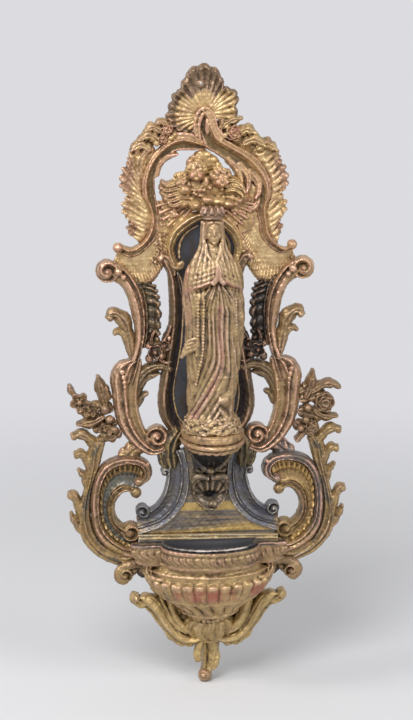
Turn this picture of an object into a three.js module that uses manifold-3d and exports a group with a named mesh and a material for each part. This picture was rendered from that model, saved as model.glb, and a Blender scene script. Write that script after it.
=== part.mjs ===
// A wall-hung holy water stoup: a cast and gilt openwork frame, a crowned standing figure before a dark
// niche, and a half-round basin with a lift-out liner. Millimetres, +Z up, +X to the viewer's right.
// The wall is the plane Y = 0 and the front faces -Y. The origin lies on the niche plate's rear face.

import * as THREE from 'three';
import { mergeVertices } from 'three/addons/utils/BufferGeometryUtils.js';
import Module from 'manifold-3d';

const wasm = await Module();
wasm.setup();

// Driving dimensions
const clearance = 0.3; // gap between pieces that are cast separately
const plateThickness = 2.5;
const railRelief = 8;
const hoodRelief = 7.5;
const crestScrollRelief = 9;
const shellRelief = 6;
const roseRelief = 8;
const fringeRelief = 5;
const webRelief = 4;
const rayRelief = 7;
const gloryDepth = 15;
const cloudDepth = 10;
const sideScrollRelief = 10;
const leafRelief = 7;
const bloomRelief = 8.5;
const ruffleRelief = 5.5;
const cScrollRelief = 11;
const cRailRelief = 9;
const cShellRelief = 6.5;
const acanthusRelief = 6;
const bracketRelief = 9;
const pendantRelief = 10;
const baseLeafRelief = 14;
const consoleBodyRelief = 7.5;
const consoleScrollRelief = 10;
const cartoucheRelief = 14;
const nailHoleDiameter = 2.8;

const figureShift = 2.5; // the figure and its socle stand right of the frame's axis
const figureAxisDepth = 21; // from the wall to the figure's axis
const figureHeight = 113; // robe hem to the top of the head
const headHeight = 16;
const crownHeight = 7;
const socleWidth = 36;
const socleHeight = 10;
const socleTop = -37.5;
const moundHeight = 8;
const corbelHeight = 18;

const rimTop = -103;
const rimHeight = 9.5;
const rimFront = 39.5; // from the wall to the front of the rim
const rimArcHalfWidth = 28;
const earReach = 44.5; // from the axis to the end of an ear
const backBlockDepth = 10.3;
const ledgeRise = 3.5; // the back block stands this far above the rim
const bowlHeight = 32;
const bowlHalfWidth = 36.5;
const bowlDepth = 37;
const linerWall = 0.9;
const linerDepth = 17;
const linerFlange = 2;
const linerFlangeThickness = 1.2;
const basinWallThickness = 3; // rim metal between the liner and the rim's front

const screwShankRadius = 1.5;
const screwHeadRadius = 2.8;
const screwHeadHeight = 1.4;
const screwGrip = 5; // thread length in the far piece
const studLength = 16;

const pendantLength = 21;
const bossHeight = 21;

// Metal finishes
const gilt = { color: 0xa8853f, roughness: 0.42, metalness: 0.8 };
const copper = { color: 0x8a5238, roughness: 0.4, metalness: 0.85 };
const patina = { color: 0x34332f, roughness: 0.55, metalness: 0.6 };
const steel = { color: 0x77777a, roughness: 0.4, metalness: 1 };

// Mouldings: front heights across a band, from its outer edge to its inner edge, as shares of its relief
const rollMoulding = [0.5, 1, 0.6, 0.45];
const gutterMoulding = [0.5, 1, 0.55, 0.8];
const roundMoulding = [0.45, 1, 0.45];
const slopeMoulding = [0.6, 1, 0.45];
const leafMoulding = [0.4, 1, 0.4];

const toVector2 = ([x, y]) => new THREE.Vector2(x, y);
const share = (count) => Array.from({ length: count + 1 }, (_, i) => i / count);
const mirrored = (points) => points.map(([x, z]) => [-x, z]);

// A list of values along 0 to 1, read between its entries.
function readAlong(list, t) {
  const place = t * (list.length - 1);
  const index = Math.min(Math.floor(place), list.length - 2);
  return THREE.MathUtils.lerp(list[index], list[index + 1], place - index);
}

// A closed solid through rings of equally many points, with flat caps on the first and last ring.
function loft(rings) {
  const count = rings[0].length;
  const vertices = rings.flat();
  const triangles = [];
  for (let ring = 0; ring + 1 < rings.length; ring += 1) {
    for (let i = 0; i < count; i += 1) {
      const a = ring * count + i;
      const b = ring * count + (i + 1) % count;
      triangles.push(a, b, b + count, a, b + count, a + count);
    }
  }
  const last = (rings.length - 1) * count;
  capOf(rings[0]).forEach(([a, b, c]) => triangles.push(c, b, a));
  capOf(rings.at(-1)).forEach(([a, b, c]) => triangles.push(last + a, last + b, last + c));
  return solidFrom(vertices.flatMap((p) => p.toArray()), triangles);
}

// The triangles that close a flat ring, turned the way the ring runs.
function capOf(ring) {
  const normal = new THREE.Vector3();
  ring.forEach((point, i) => normal.add(point.clone().cross(ring[(i + 1) % ring.length])));
  normal.normalize();
  const level = Math.abs(normal.z) > 0.9 ? new THREE.Vector3(1, 0, 0) : new THREE.Vector3(0, 0, 1);
  const right = level.cross(normal).normalize();
  const up = normal.clone().cross(right);
  const flat = ring.map((point) => new THREE.Vector2(point.dot(right), point.dot(up)));
  return THREE.ShapeUtils.triangulateShape(flat, []).map(([a, b, c]) => {
    const turn = flat[b].clone().sub(flat[a]).cross(flat[c].clone().sub(flat[a]));
    return turn > 0 ? [a, b, c] : [c, b, a];
  });
}

// A solid from a triangle list, turned right side out if its volume comes out negative.
function solidFrom(positions, triangles) {
  let volume = 0;
  const corners = [new THREE.Vector3(), new THREE.Vector3(), new THREE.Vector3()];
  for (let i = 0; i < triangles.length; i += 3) {
    corners.forEach((corner, k) => corner.fromArray(positions, triangles[i + k] * 3));
    volume += corners[0].dot(corners[1].clone().cross(corners[2]));
  }
  const turned = Uint32Array.from(triangles);
  if (volume < 0) {
    for (let i = 0; i < turned.length; i += 3) [turned[i], turned[i + 1]] = [turned[i + 1], turned[i]];
  }
  const mesh = new wasm.Mesh({ numProp: 3, vertProperties: Float32Array.from(positions), triVerts: turned });
  return new wasm.Manifold(mesh);
}

function solidOf(geometry) {
  geometry.deleteAttribute('normal');
  geometry.deleteAttribute('uv');
  const merged = mergeVertices(geometry, 1e-4);
  const index = Array.from(merged.index.array);
  const whole = [];
  for (let i = 0; i < index.length; i += 3) {
    const [a, b, c] = index.slice(i, i + 3);
    if (a !== b && b !== c && c !== a) whole.push(a, b, c);
  }
  return solidFrom(Array.from(merged.attributes.position.array), whole);
}

const join = (...solids) => solids.reduce((all, solid) => all.add(solid));

// The largest body of a solid: a cut may leave slivers beside it.
function mainBody(solid) {
  const bodies = solid.decompose();
  return bodies.reduce((best, body) => (body.volume() > best.volume() ? body : best));
}

// A copy with its faces moved out by a gap.
function swollen(solid, gap = clearance) {
  const { vertProperties, triVerts } = solid.getMesh();
  const positions = Array.from(vertProperties);
  const normals = positions.map(() => 0);
  const faces = [];
  const corner = (index) => new THREE.Vector3().fromArray(positions, index * 3);
  for (let i = 0; i < triVerts.length; i += 3) {
    const [a, b, c] = triVerts.slice(i, i + 3);
    const normal = corner(b).sub(corner(a)).cross(corner(c).sub(corner(a)));
    if (normal.length() < 1e-9) continue;
    normal.normalize();
    for (const index of [a, b, c]) {
      faces.push([index, normal]);
      normal.toArray().forEach((value, axis) => { normals[index * 3 + axis] += value; });
    }
  }
  const mean = (index) => new THREE.Vector3().fromArray(normals, index * 3).normalize();
  const flattest = positions.map(() => 1);
  for (const [index, normal] of faces) {
    flattest[index] = Math.min(flattest[index], normal.dot(mean(index)));
  }
  const steepest = 0.35;
  const moved = positions.map((value, i) => {
    const index = Math.floor(i / 3);
    const reach = gap / Math.max(flattest[index], steepest);
    return value + mean(index).getComponent(i % 3) * reach;
  });
  return solidFrom(moved, Array.from(triVerts));
}

const cut = (solid, ...neighbours) => mainBody(
  neighbours.reduce((rest, neighbour) => rest.subtract(swollen(neighbour)), solid),
);

// A path moved sideways in the wall plane, to its left where the distance is positive.
function beside(points, distance) {
  return points.map(([x, z], i) => {
    const [fromX, fromZ] = points[Math.max(i - 1, 0)];
    const [toX, toZ] = points[Math.min(i + 1, points.length - 1)];
    const length = Math.hypot(toX - fromX, toZ - fromZ);
    return [x - (distance * (toZ - fromZ)) / length, z + (distance * (toX - fromX)) / length];
  });
}

// A cast band on the wall between two edge curves, seen from the front, with a moulded and ribbed face.
function band(side, outer, inner, { moulding, relief, back = 0, perSpan = 2, ribbed = 0, scallop = 0 }) {
  const outerEdge = new THREE.SplineCurve(outer.map(toVector2));
  const innerEdge = new THREE.SplineCurve(inner.map(toVector2));
  const rings = share(perSpan * (outer.length - 1)).map((u, i) => {
    const wave = i % 2 === 0 ? 1 : -1;
    const end = innerEdge.getPoint(u);
    const start = outerEdge.getPoint(u);
    start.addScaledVector(start.clone().sub(end).normalize(), scallop * wave);
    const front = moulding.map((height, j) => {
      const place = start.clone().lerp(end, j / (moulding.length - 1));
      const rise = back + (relief - back) * height * (1 + ribbed * wave);
      return new THREE.Vector3(side * place.x, -rise, place.y);
    });
    return [
      ...front,
      new THREE.Vector3(side * end.x, -back, end.y),
      new THREE.Vector3(side * start.x, -back, start.y),
    ];
  });
  return loft(rings);
}

// A leaf on a spine in the wall plane, with half-widths along it and lobed edges.
function leaf(side, spine, halfWidths, { steps = 8, lobes = 0, lobeDepth = 0.3, relief, back = 0 }) {
  const path = new THREE.SplineCurve(spine.map(toVector2));
  const edges = [1, -1].map((hand) => share(steps).map((u) => {
    const centre = path.getPoint(u);
    const along = path.getTangent(u);
    const notch = 1 - lobeDepth * Math.abs(Math.cos(Math.PI * lobes * u)) * Math.sign(lobes);
    const half = readAlong(halfWidths, u) * notch * hand;
    return [centre.x - along.y * half, centre.y + along.x * half];
  }));
  return band(side, edges[0], edges[1], { moulding: leafMoulding, relief, back, perSpan: 1 });
}

// A tapered limb through points given as x, depth and z, each with its own radius.
function limb(points, radii, facets = 6) {
  const path = new THREE.CatmullRomCurve3(points.map(([x, depth, z]) => new THREE.Vector3(x, -depth, z)));
  const steps = 2 * (points.length - 1);
  const { normals, binormals } = path.computeFrenetFrames(steps);
  return loft(share(steps).map((u, i) => share(facets).slice(0, -1).map((t) => {
    const angle = t * 2 * Math.PI;
    const radius = readAlong(radii, u);
    return path.getPointAt(u)
      .addScaledVector(normals[i], radius * Math.cos(angle))
      .addScaledVector(binormals[i], radius * Math.sin(angle));
  })));
}

// A round boss on the wall with a ring, a hollow and an eye: the face of a volute.
function volute(side, [x, z], radius, relief, back = 0) {
  const rise = relief - back;
  const profile = [
    [0, relief], [0.4 * radius, relief - 0.4 * rise], [0.75 * radius, relief - 0.1 * rise],
    [radius, relief - 0.5 * rise], [radius, back], [0, back],
  ].map(([r, depth]) => new THREE.Vector2(r, -depth));
  return solidOf(new THREE.LatheGeometry(profile, 12).translate(side * x, 0, z));
}

// An oval boss on the wall, domed towards the viewer.
function boss(side, [x, z], [halfWidth, halfHeight], relief, { back = 0, facets = 8 } = {}) {
  const rise = relief - back;
  const profile = [[0, relief], [0.55, relief - 0.15 * rise], [1, back + 0.4 * rise], [1, back], [0, back]]
    .map(([r, depth]) => new THREE.Vector2(r, -depth));
  const dome = new THREE.LatheGeometry(profile, facets).scale(halfWidth, 1, halfHeight);
  return solidOf(dome.translate(side * x, 0, z));
}

// A free ellipsoid.
function ball([x, depth, z], [rx, ry, rz], facets = 8) {
  return solidOf(new THREE.SphereGeometry(1, facets, 6).scale(rx, ry, rz).translate(x, -depth, z));
}

// Everything between two depths in front of the wall plane.
function slab(from, to) {
  const reach = 400;
  const box = new THREE.BoxGeometry(reach, to - from, reach);
  return solidOf(box.translate(0, -(from + to) / 2, 0));
}

// A flat plate cut to an outline, from one depth to another.
function plate(outline, from, to) {
  const shape = new THREE.Shape(outline.map(toVector2));
  const geometry = new THREE.ExtrudeGeometry(shape, { depth: to - from, bevelEnabled: false });
  return solidOf(geometry.rotateX(Math.PI / 2).translate(0, -from, 0));
}

// A half-round plan against the wall: straight sides, then an elliptical front.
function halfRound(halfWidth, front, rear, z, shift = 0, points = 20) {
  const straightShare = 0.22;
  const straight = rear + (front - rear) * straightShare;
  const arc = share(points).map((t) => {
    const angle = t * Math.PI;
    const depth = straight + (front - straight) * Math.sin(angle);
    return new THREE.Vector3(shift + halfWidth * Math.cos(angle), -depth, z);
  });
  const corner = (sign) => new THREE.Vector3(shift + sign * halfWidth, -rear, z);
  return [corner(1), ...arc, corner(-1)];
}

// A countersunk screw pointing away from the wall.
function screw([x, z], headBack, length) {
  const tip = headBack + length;
  const profile = [
    [0, headBack], [screwHeadRadius, headBack], [screwHeadRadius, headBack + screwHeadHeight],
    [screwShankRadius, headBack + screwHeadHeight], [screwShankRadius, tip], [0, tip],
  ].map(([r, depth]) => new THREE.Vector2(r, -depth));
  return solidOf(new THREE.LatheGeometry(profile, 12).translate(x, 0, z));
}

const stoup = new THREE.Group();

function place(name, solid, finish) {
  const { vertProperties, triVerts } = solid.getMesh();
  const geometry = new THREE.BufferGeometry();
  geometry.setAttribute('position', new THREE.BufferAttribute(vertProperties, 3));
  geometry.setIndex(new THREE.BufferAttribute(triVerts, 1));
  const mesh = new THREE.Mesh(geometry, new THREE.MeshStandardMaterial(finish));
  mesh.name = name;
  stoup.add(mesh);
}

const sides = [['left', -1], ['right', 1]];
const bothSides = (make) => Object.fromEntries(sides.map(([name, side]) => [name, make(side, name)]));

// Niche plate: the dark lyre-shaped ground behind the figure, edged by the niche rails
const railOuter = [
  [26, 57], [21.5, 49], [20.5, 38], [20.4, 24], [22.8, 7], [25.8, -11], [27.3, -24], [26, -33],
];
const railInner = [
  [19.5, 57], [15.6, 48], [13.3, 34], [13.3, 20], [14.5, 10.5], [16.9, -7.4], [18.7, -20], [16.5, -33.5],
];
const seam = 1.5 * clearance; // between neighbours whose edges follow one curve
const railCurve = new THREE.SplineCurve(railInner.map(toVector2)).getPoints(2 * (railInner.length - 1));
const nicheHalf = [
  [0, 82], [9, 80.5], [17, 73], [19.5, 63],
  ...railCurve.slice(1).map(({ x, y }) => [x - seam, y]), [12, -50], [0, -50],
];
const plateBlank = plate([...nicheHalf, ...mirrored(nicheHalf.slice(1, -1)).reverse()], 0, plateThickness);
const socleRear = plateThickness + clearance;
const figureBase = socleTop + moundHeight;
const hemHalfWidth = 14;
const socleFront = 2 * figureAxisDepth - socleRear;

// Socle: a moulded slab with a step and a scalloped apron under it
const socleLevels = [[0, 0.94], [0.08, 1], [0.42, 1], [0.5, 0.92], [0.72, 0.92], [0.8, 0.86], [1, 0.8]];
const socleBlank = loft(socleLevels.map(([drop, size]) => {
  const front = socleRear + (socleFront - socleRear) * (0.5 + size / 2);
  return halfRound(size * socleWidth / 2, front, socleRear, socleTop - drop * socleHeight, figureShift, 18);
}));

// Figure: rings of the robe from the mound to the collar, then neck, veiled head, arms and joined hands
const robe = [
  [clearance - moundHeight, 15.5, 14], [-1, 15.5, 13.5], [0, hemHalfWidth, 12], [14, 12.5, 10.5],
  [32, 13.5, 10], [50, 15.5, 10.5], [66, 15.5, 11], [78, 14, 10.5], [87, 12.5, 9.5], [92, 8.5, 7.5],
  [95.5, 4.5, 5],
];
const headCentre = figureHeight - headHeight / 2;
const robeScale = (figureHeight - headHeight) / 97; // the rise values are for a robe 97 tall
const robeRings = robe.map(([rise, half, depth]) => share(16).slice(0, -1).map((t, i) => {
  const angle = t * 2 * Math.PI;
  const fold = rise > 0 && rise < 75 ? 1 - 0.045 * (i % 2) : 1;
  const height = rise > 0 ? rise * robeScale : rise;
  return new THREE.Vector3(
    figureShift + half * fold * Math.cos(angle),
    -figureAxisDepth - depth * fold * Math.sin(angle),
    figureBase + height,
  );
}));
const onFigure = (x, forward, rise) => [figureShift + x, figureAxisDepth + forward, figureBase + rise];
const shoulderRise = 87 * robeScale;
const sleeveRise = 78 * robeScale;
const elbowRise = 71 * robeScale;
const handRise = 81 * robeScale;
const arms = sides.map(([, side]) => limb([
  onFigure(side * 9.5, 1, shoulderRise), onFigure(side * 13, 4, sleeveRise),
  onFigure(side * 10.5, 9, elbowRise), onFigure(side * 1.2, 12.5, handRise - 4),
], [4, 4.6, 4.4, 2.6]));
const hands = ball(onFigure(0, 13.5, handRise), [2, 2.2, 6.5], 6);
const neckRise = figureHeight - headHeight - 2;
const neck = ball(onFigure(0, 0, neckRise), [5, 5, headHeight / 2]);
const head = ball(onFigure(0, 1.5, headCentre), [0.4 * headHeight, 0.44 * headHeight, headHeight / 2], 10);
const veilSize = [0.44 * headHeight, 0.42 * headHeight, 0.62 * headHeight];
const veil = ball(onFigure(0, -1.5, headCentre - 3), veilSize);
const stud = solidOf(new THREE.CylinderGeometry(screwShankRadius, screwShankRadius, studLength, 12)
  .rotateX(Math.PI / 2).translate(figureShift, -figureAxisDepth, socleTop));
const socleScrewPlace = [figureShift, socleTop - socleHeight / 2];
const socleScrew = screw(socleScrewPlace, clearance, socleRear + screwGrip);
const figureWhole = join(loft(robeRings), ...arms, hands, neck, head, veil);
const socle = cut(socleBlank, stud, socleScrew);
const behindWall = -100;
const figure = cut(figureWhole.subtract(slab(behindWall, socleRear)), socle, stud);

// Crown: an open ring of points that sits round the veil
const crownRadius = 0.38 * headHeight;
const crownDepth = figureAxisDepth + 0.8;
const crownBase = figureBase + headCentre + 0.34 * headHeight;
const crownPoints = 12;
const crownRing = (radius, level) => share(crownPoints * 2).slice(0, -1).map((t, i) => {
  const angle = t * 2 * Math.PI;
  const dip = 0.6;
  const point = level === 1 && i % 2 === 1 ? dip : level;
  return new THREE.Vector3(
    figureShift + radius * Math.cos(angle),
    -crownDepth - radius * Math.sin(angle),
    crownBase + crownHeight * point,
  );
});
const crownFlare = 0.5;
const crownShell = loft([
  crownRing(crownRadius, 0), crownRing(crownRadius + crownFlare, 0.5), crownRing(crownRadius, 1),
]);
const crown = cut(crownShell, figure);

// Side scrolls: S-shaped mouldings with a small volute above and a broad C and volute below
const armInner = [
  [50, 57.3], [43.6, 52], [38.8, 45.6], [35.4, 38.4], [33.8, 29.5], [33.6, 18.8], [35.2, 8], [38.5, -5],
];
const armOuter = [
  [51.5, 45], [46.4, 41.4], [43.1, 34.2], [41.5, 27], [40, 20], [39.5, 13], [41, 5], [45, -5],
];
const sideOuter = [
  [49, -2], [53.7, -8.5], [53, -17], [51.3, -31.2], [47.3, -40], [39.9, -48], [31.4, -52.1], [25, -51],
];
const sideInner = [
  [36, -2], [37, -10], [38.2, -18], [38, -27], [36.5, -34], [33.5, -41], [30, -46], [27, -47.5],
];
const sideScroll = bothSides((side) => {
  const arm = band(side, armOuter, armInner, { moulding: rollMoulding, relief: sideScrollRelief - 1 });
  const lower = band(side, sideOuter, sideInner, { moulding: gutterMoulding, relief: sideScrollRelief });
  const upperEye = volute(side, [54, 50.7], 6.7, sideScrollRelief);
  const lowerEye = volute(side, [27.6, -43.8], 6.5, sideScrollRelief);
  return cut(join(arm, lower, upperEye, lowerEye), socle, plateBlank);
});

// Niche rails: the upright mouldings at the sides of the plate, each with a small rolled head
const rail = bothSides((side) => {
  const upright = band(side, railOuter, railInner, { moulding: slopeMoulding, relief: railRelief });
  const railHead = boss(side, [23.4, 57], [3.6, 3.6], railRelief + 1);
  return cut(join(upright, railHead), plateBlank, socle, sideScroll.left, sideScroll.right);
});

// Niche hood: the arched ring over the figure's head, ending in two rolled hooks
const hoodBack = plateThickness + clearance;
const hoodOuterHalf = [[16, 53], [18.9, 56], [20.8, 63], [18, 73], [10, 80.5], [3, 83]];
const hoodInnerHalf = [[15, 56], [16.4, 58], [16.9, 63], [14.3, 69.5], [7.5, 76], [2.5, 79]];
const archOf = (half) => [...half, ...mirrored(half).reverse()];
const hoodArch = band(1, archOf(hoodOuterHalf), archOf(hoodInnerHalf), {
  moulding: roundMoulding, relief: hoodBack + hoodRelief, back: hoodBack,
});
const hoodHooks = sides.map(([, side]) => boss(
  side, [14.8, 55], [2.3, 2.3], hoodBack + hoodRelief, { back: hoodBack },
));
const hood = cut(join(hoodArch, ...hoodHooks), rail.left, rail.right, figure, crown);

// Crest scrolls: the right one rises to a head under the shell and the left one tucks in below it.
// Both run down the arch and end in an outward tail.
const crestOuter = {
  right: [
    [0, 139.5], [5, 134.5], [6.6, 128], [10.3, 123.5], [16.6, 119.5], [26, 114.2], [32.3, 107.8],
    [36.1, 100], [36.6, 92], [34, 83.7], [34.5, 75.6], [36.2, 69.2], [40.7, 63.8], [45.1, 62], [48.7, 64.8],
  ],
  left: [
    [-1, 119.5], [8.6, 123.9], [14.9, 124], [21.3, 120.9], [27.6, 115.4], [32.1, 108], [34.5, 100],
    [34.3, 92.3], [31.5, 87.5], [29.7, 81.7], [30.2, 76], [32.3, 70], [36.5, 65.6], [41.6, 63.4],
    [47.6, 65.8],
  ],
};
const crestInner = {
  right: [
    [-4.5, 136], [-4.1, 131], [-2.3, 125], [0.1, 118], [5.3, 114.8], [13, 109.5], [19, 105],
    [26, 99], [29.5, 91], [28.5, 84], [30, 75.7], [30.9, 68.5], [36.2, 62.2], [42.5, 58.9], [48.5, 61],
  ],
  left: [
    [-1, 116.6], [8.7, 116.2], [14, 116.2], [19.4, 114], [23.9, 109], [26.9, 102.8], [27.4, 95],
    [26.6, 89], [26, 83], [25.8, 77], [26.5, 70], [31, 64], [37.2, 59.2], [43.4, 58.4], [48.5, 62],
  ],
};
const crestBlank = bothSides((side, name) => join(
  band(side, crestOuter[name], crestInner[name], { moulding: rollMoulding, relief: crestScrollRelief }),
  boss(side, [48, 63.6], [2.6, 2.6], crestScrollRelief),
));
const crestScroll = {
  right: mainBody(crestBlank.right.subtract(swollen(sideScroll.right))),
  left: cut(crestBlank.left, crestBlank.right, sideScroll.left),
};

// Crest shell: a fluted scallop in three lobes, pierced for the wall nail
const shellHub = [0, 136];
const shellRim = [
  [13, 126], [17.8, 133], [18.6, 141], [18.8, 147], [12.5, 151], [9.6, 152], [10.5, 156], [5.5, 162],
  [0.5, 163.7], [-6, 162], [-12, 155], [-12.6, 150.5], [-18, 147], [-19.5, 141.5], [-21, 135], [-17, 126],
];
const rootShare = 0.22; // the flutes start this far out from the hub
const shellRoot = shellRim.map(([x, z]) => [
  shellHub[0] + rootShare * (x - shellHub[0]), shellHub[1] + rootShare * (z - shellHub[1]),
]);
const nailHolePlace = [shellHub[0] - 1.5, shellHub[1] + 16.7];
const nailHole = solidOf(new THREE.CylinderGeometry(nailHoleDiameter / 2, nailHoleDiameter / 2, 40, 12)
  .translate(nailHolePlace[0], 0, nailHolePlace[1]));
const shellFluted = band(1, shellRim, shellRoot, {
  moulding: [0.75, 1, 0.6, 0.8], relief: shellRelief, ribbed: 0.1, scallop: 0.5,
});
const crestShell = cut(shellFluted.subtract(nailHole), crestScroll.left, crestScroll.right);

// Fan webs: fluted fields that fill the corner between the crest tail, the hood and the side scroll
const webOuter = [[19, 86], [17, 79], [18, 70], [20, 61], [25, 50], [31.6, 43], [42, 46]];
const fanWeb = bothSides((side, name) => cut(
  band(side, webOuter, beside(crestInner[name].slice(-webOuter.length), -seam), {
    moulding: [0.55, 0.9, 0.9], relief: webRelief, perSpan: 4, ribbed: 0.12, scallop: 0.4,
  }),
  crestScroll[name], sideScroll[name], rail[name], hood, plateBlank,
));

// Arch fringes: the ruffled edge outside each crest scroll
const fringeOuter = [
  [31, 122], [40.2, 116], [44, 108], [46, 99], [43.5, 91], [45, 85], [41, 77], [42.5, 70],
];
const fringe = bothSides((side, name) => cut(
  band(side, fringeOuter, beside(crestOuter[name].slice(5, 5 + fringeOuter.length), seam), {
    moulding: [0.6, 1, 0.7], relief: fringeRelief, perSpan: 4, ribbed: 0.14, scallop: 0.8,
  }),
  crestScroll[name],
));

// Crest roses: a rose and leaves laid on the shoulder of each crest scroll
const roseLeaves = {
  right: [[[14.7, 125.7], 4.2], [[20.5, 124], 4.5], [[26, 120.5], 4.5]],
  left: [[[20, 126.5], 4.5], [[24, 129.5], 4.2], [[28, 121.5], 4.8]],
};
const crestRoses = bothSides((side, name) => {
  const bosses = roseLeaves[name].map(([middle, radius]) => boss(side, middle, [radius, radius], roseRelief));
  return cut(join(...bosses), crestScroll.left, crestScroll.right, crestShell, fringe[name]);
});

// Glory: a bank of cloud with cherub heads under the arch
const gloryHeads = [[[-5, 105.5], 6.2], [[7.7, 102.5], 6.2], [[-13, 98.5], 5], [[15.4, 95.5], 5]];
const gloryClouds = [
  [[-1.5, 113], [6, 5.5]], [[-20, 95], [6.5, 5.5]], [[-14, 90], [7, 4.5]], [[0, 95], [14, 8]],
  [[0, 88], [13, 5]], [[20, 91], [5.5, 5]],
];
const gloryBlank = join(
  ...gloryHeads.map(([middle, radius]) => boss(1, middle, [radius, radius], gloryDepth, { facets: 8 })),
  ...gloryClouds.map(([middle, size]) => boss(1, middle, size, cloudDepth, { facets: 7 })),
);
const glory = cut(
  gloryBlank, crestScroll.left, crestScroll.right, fanWeb.left, fanWeb.right, hood, plateBlank, crown,
);

// Rays: bundles of beams from under the cloud to the fan webs
const rayInner = [[6, 84], [10, 82.5], [13.5, 80], [18, 75]];
const rayOuter = [[15, 92], [19.5, 89.5], [23.5, 86], [26.5, 78.5]];
const rays = bothSides((side, name) => cut(
  band(side, rayOuter, rayInner, {
    moulding: [0.7, 1, 0.8], relief: rayRelief, perSpan: 4, ribbed: 0.12, back: webRelief,
  }),
  glory, hood, fanWeb[name], crown, figure, crestScroll[name],
));

// Leaves and ruffles of the sides
const sideLeaf = bothSides((side, name) => cut(
  leaf(side, [[41, 1], [43.5, 13], [46, 22], [50, 26.5], [54, 25]], [2.5, 4.2, 4.6, 3.4, 1.6], {
    steps: 12, lobes: 3, relief: leafRelief,
  }),
  sideScroll[name],
));
const ruffleInner = [[32, 45], [27, 38], [25.2, 29], [25.5, 18], [27.5, 9]];
const ruffle = bothSides((side, name) => cut(
  band(side, ruffleInner, beside(armInner.slice(2, 2 + ruffleInner.length), -seam), {
    moulding: [0.7, 1, 0.7], relief: ruffleRelief, perSpan: 4, ribbed: 0.15, scallop: 0.6,
  }),
  sideScroll[name], fanWeb[name], rail[name],
));
const innerLeaf = bothSides((side, name) => cut(
  leaf(side, [[39, -16], [36, -8.5], [30, -3.5], [22, -5]], [3.5, 4, 3, 2.4], {
    lobes: 2, relief: leafRelief,
  }),
  sideScroll[name], rail[name],
));
const bloomBosses = [[[28.5, 6.5], 4.6], [[24, 9], 3.4], [[31.5, 2.5], 3.6], [[25, 3.5], 3.4]];
const innerBloom = bothSides((side, name) => cut(
  join(...bloomBosses.map(([middle, r]) => boss(side, middle, [r, r], bloomRelief, { facets: 7 }))),
  sideScroll[name], rail[name], ruffle[name], innerLeaf[name],
));

// C-scrolls: the broad hooked mouldings beside the console
const cOuter = [
  [38, -70.5], [31.7, -67], [31.5, -60.5], [37.8, -54.7], [48, -54], [59, -58], [63.3, -65], [66, -81],
  [64.5, -97], [59, -106], [50, -111.5], [43, -114],
];
const cInner = [
  [39.5, -68], [36.4, -65.7], [36.9, -60.8], [41, -58.2], [48, -58.6], [55, -62], [59, -69.5], [61, -81],
  [59.5, -93], [53.5, -101.5], [47, -106], [41, -107.5],
];
const cScroll = bothSides((side, name) => {
  const hook = band(side, cOuter, cInner, { moulding: rollMoulding, relief: cScrollRelief });
  const eye = boss(side, [39.5, -68.3], [3, 3], cScrollRelief);
  return cut(join(hook, eye), sideScroll[name]);
});
const cRailOuter = [
  [41, -72.5], [47, -70], [54, -74.5], [57, -83.4], [55.5, -92.5], [49.5, -99], [43, -101],
];
const cRailInner = [
  [41, -77], [45.5, -74.5], [49.8, -77.5], [52.5, -83.4], [51, -90.5], [47, -94.5], [43, -95],
];
const cRailEye = [43.8, -97.5];
const cRailEyeRadius = 5;
const cRail = bothSides((side, name) => {
  const innerC = band(side, cRailOuter, cRailInner, { moulding: roundMoulding, relief: cRailRelief });
  const upperEnd = boss(side, [40.5, -75.3], [3.2, 3.2], cRailRelief);
  const lowerEnd = volute(side, cRailEye, cRailEyeRadius, cRailRelief);
  return cut(join(innerC, upperEnd, lowerEnd), cScroll[name]);
});
const cShell = bothSides((side, name) => cut(
  band(side, beside(cInner.slice(3, 3 + cRailOuter.length), -seam), beside(cRailOuter, seam), {
    moulding: [0.9, 0.65, 0.8], relief: cShellRelief, perSpan: 4, ribbed: 0.14,
  }),
  cScroll[name], cRail[name],
));

// Outer acanthus: the long leaf that climbs outside each C-scroll and breaks into curled tips
const acanthusOuter = [
  [61, -45.5], [68, -52], [69.5, -62], [71, -74], [73.5, -88], [70, -103], [60, -113.5], [50, -118],
];
const acanthusTips = [
  [[[64, -50], [68.5, -44], [74, -42.5]], [3.6, 3.4, 2]],
  [[[66, -62], [69, -55.5], [73.5, -53]], [3.2, 3.2, 1.8]],
  [[[70, -90], [73, -81], [77.5, -76]], [3.6, 3.4, 1.8]],
];
const acanthus = bothSides((side, name) => {
  const stem = band(side, acanthusOuter, beside(cOuter.slice(4), seam), {
    moulding: leafMoulding, relief: acanthusRelief,
  });
  const tips = acanthusTips.map(([spine, halfWidths]) => leaf(side, spine, halfWidths, {
    steps: 4, relief: acanthusRelief,
  }));
  return cut(join(stem, ...tips), cScroll[name], sideScroll[name]);
});

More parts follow.
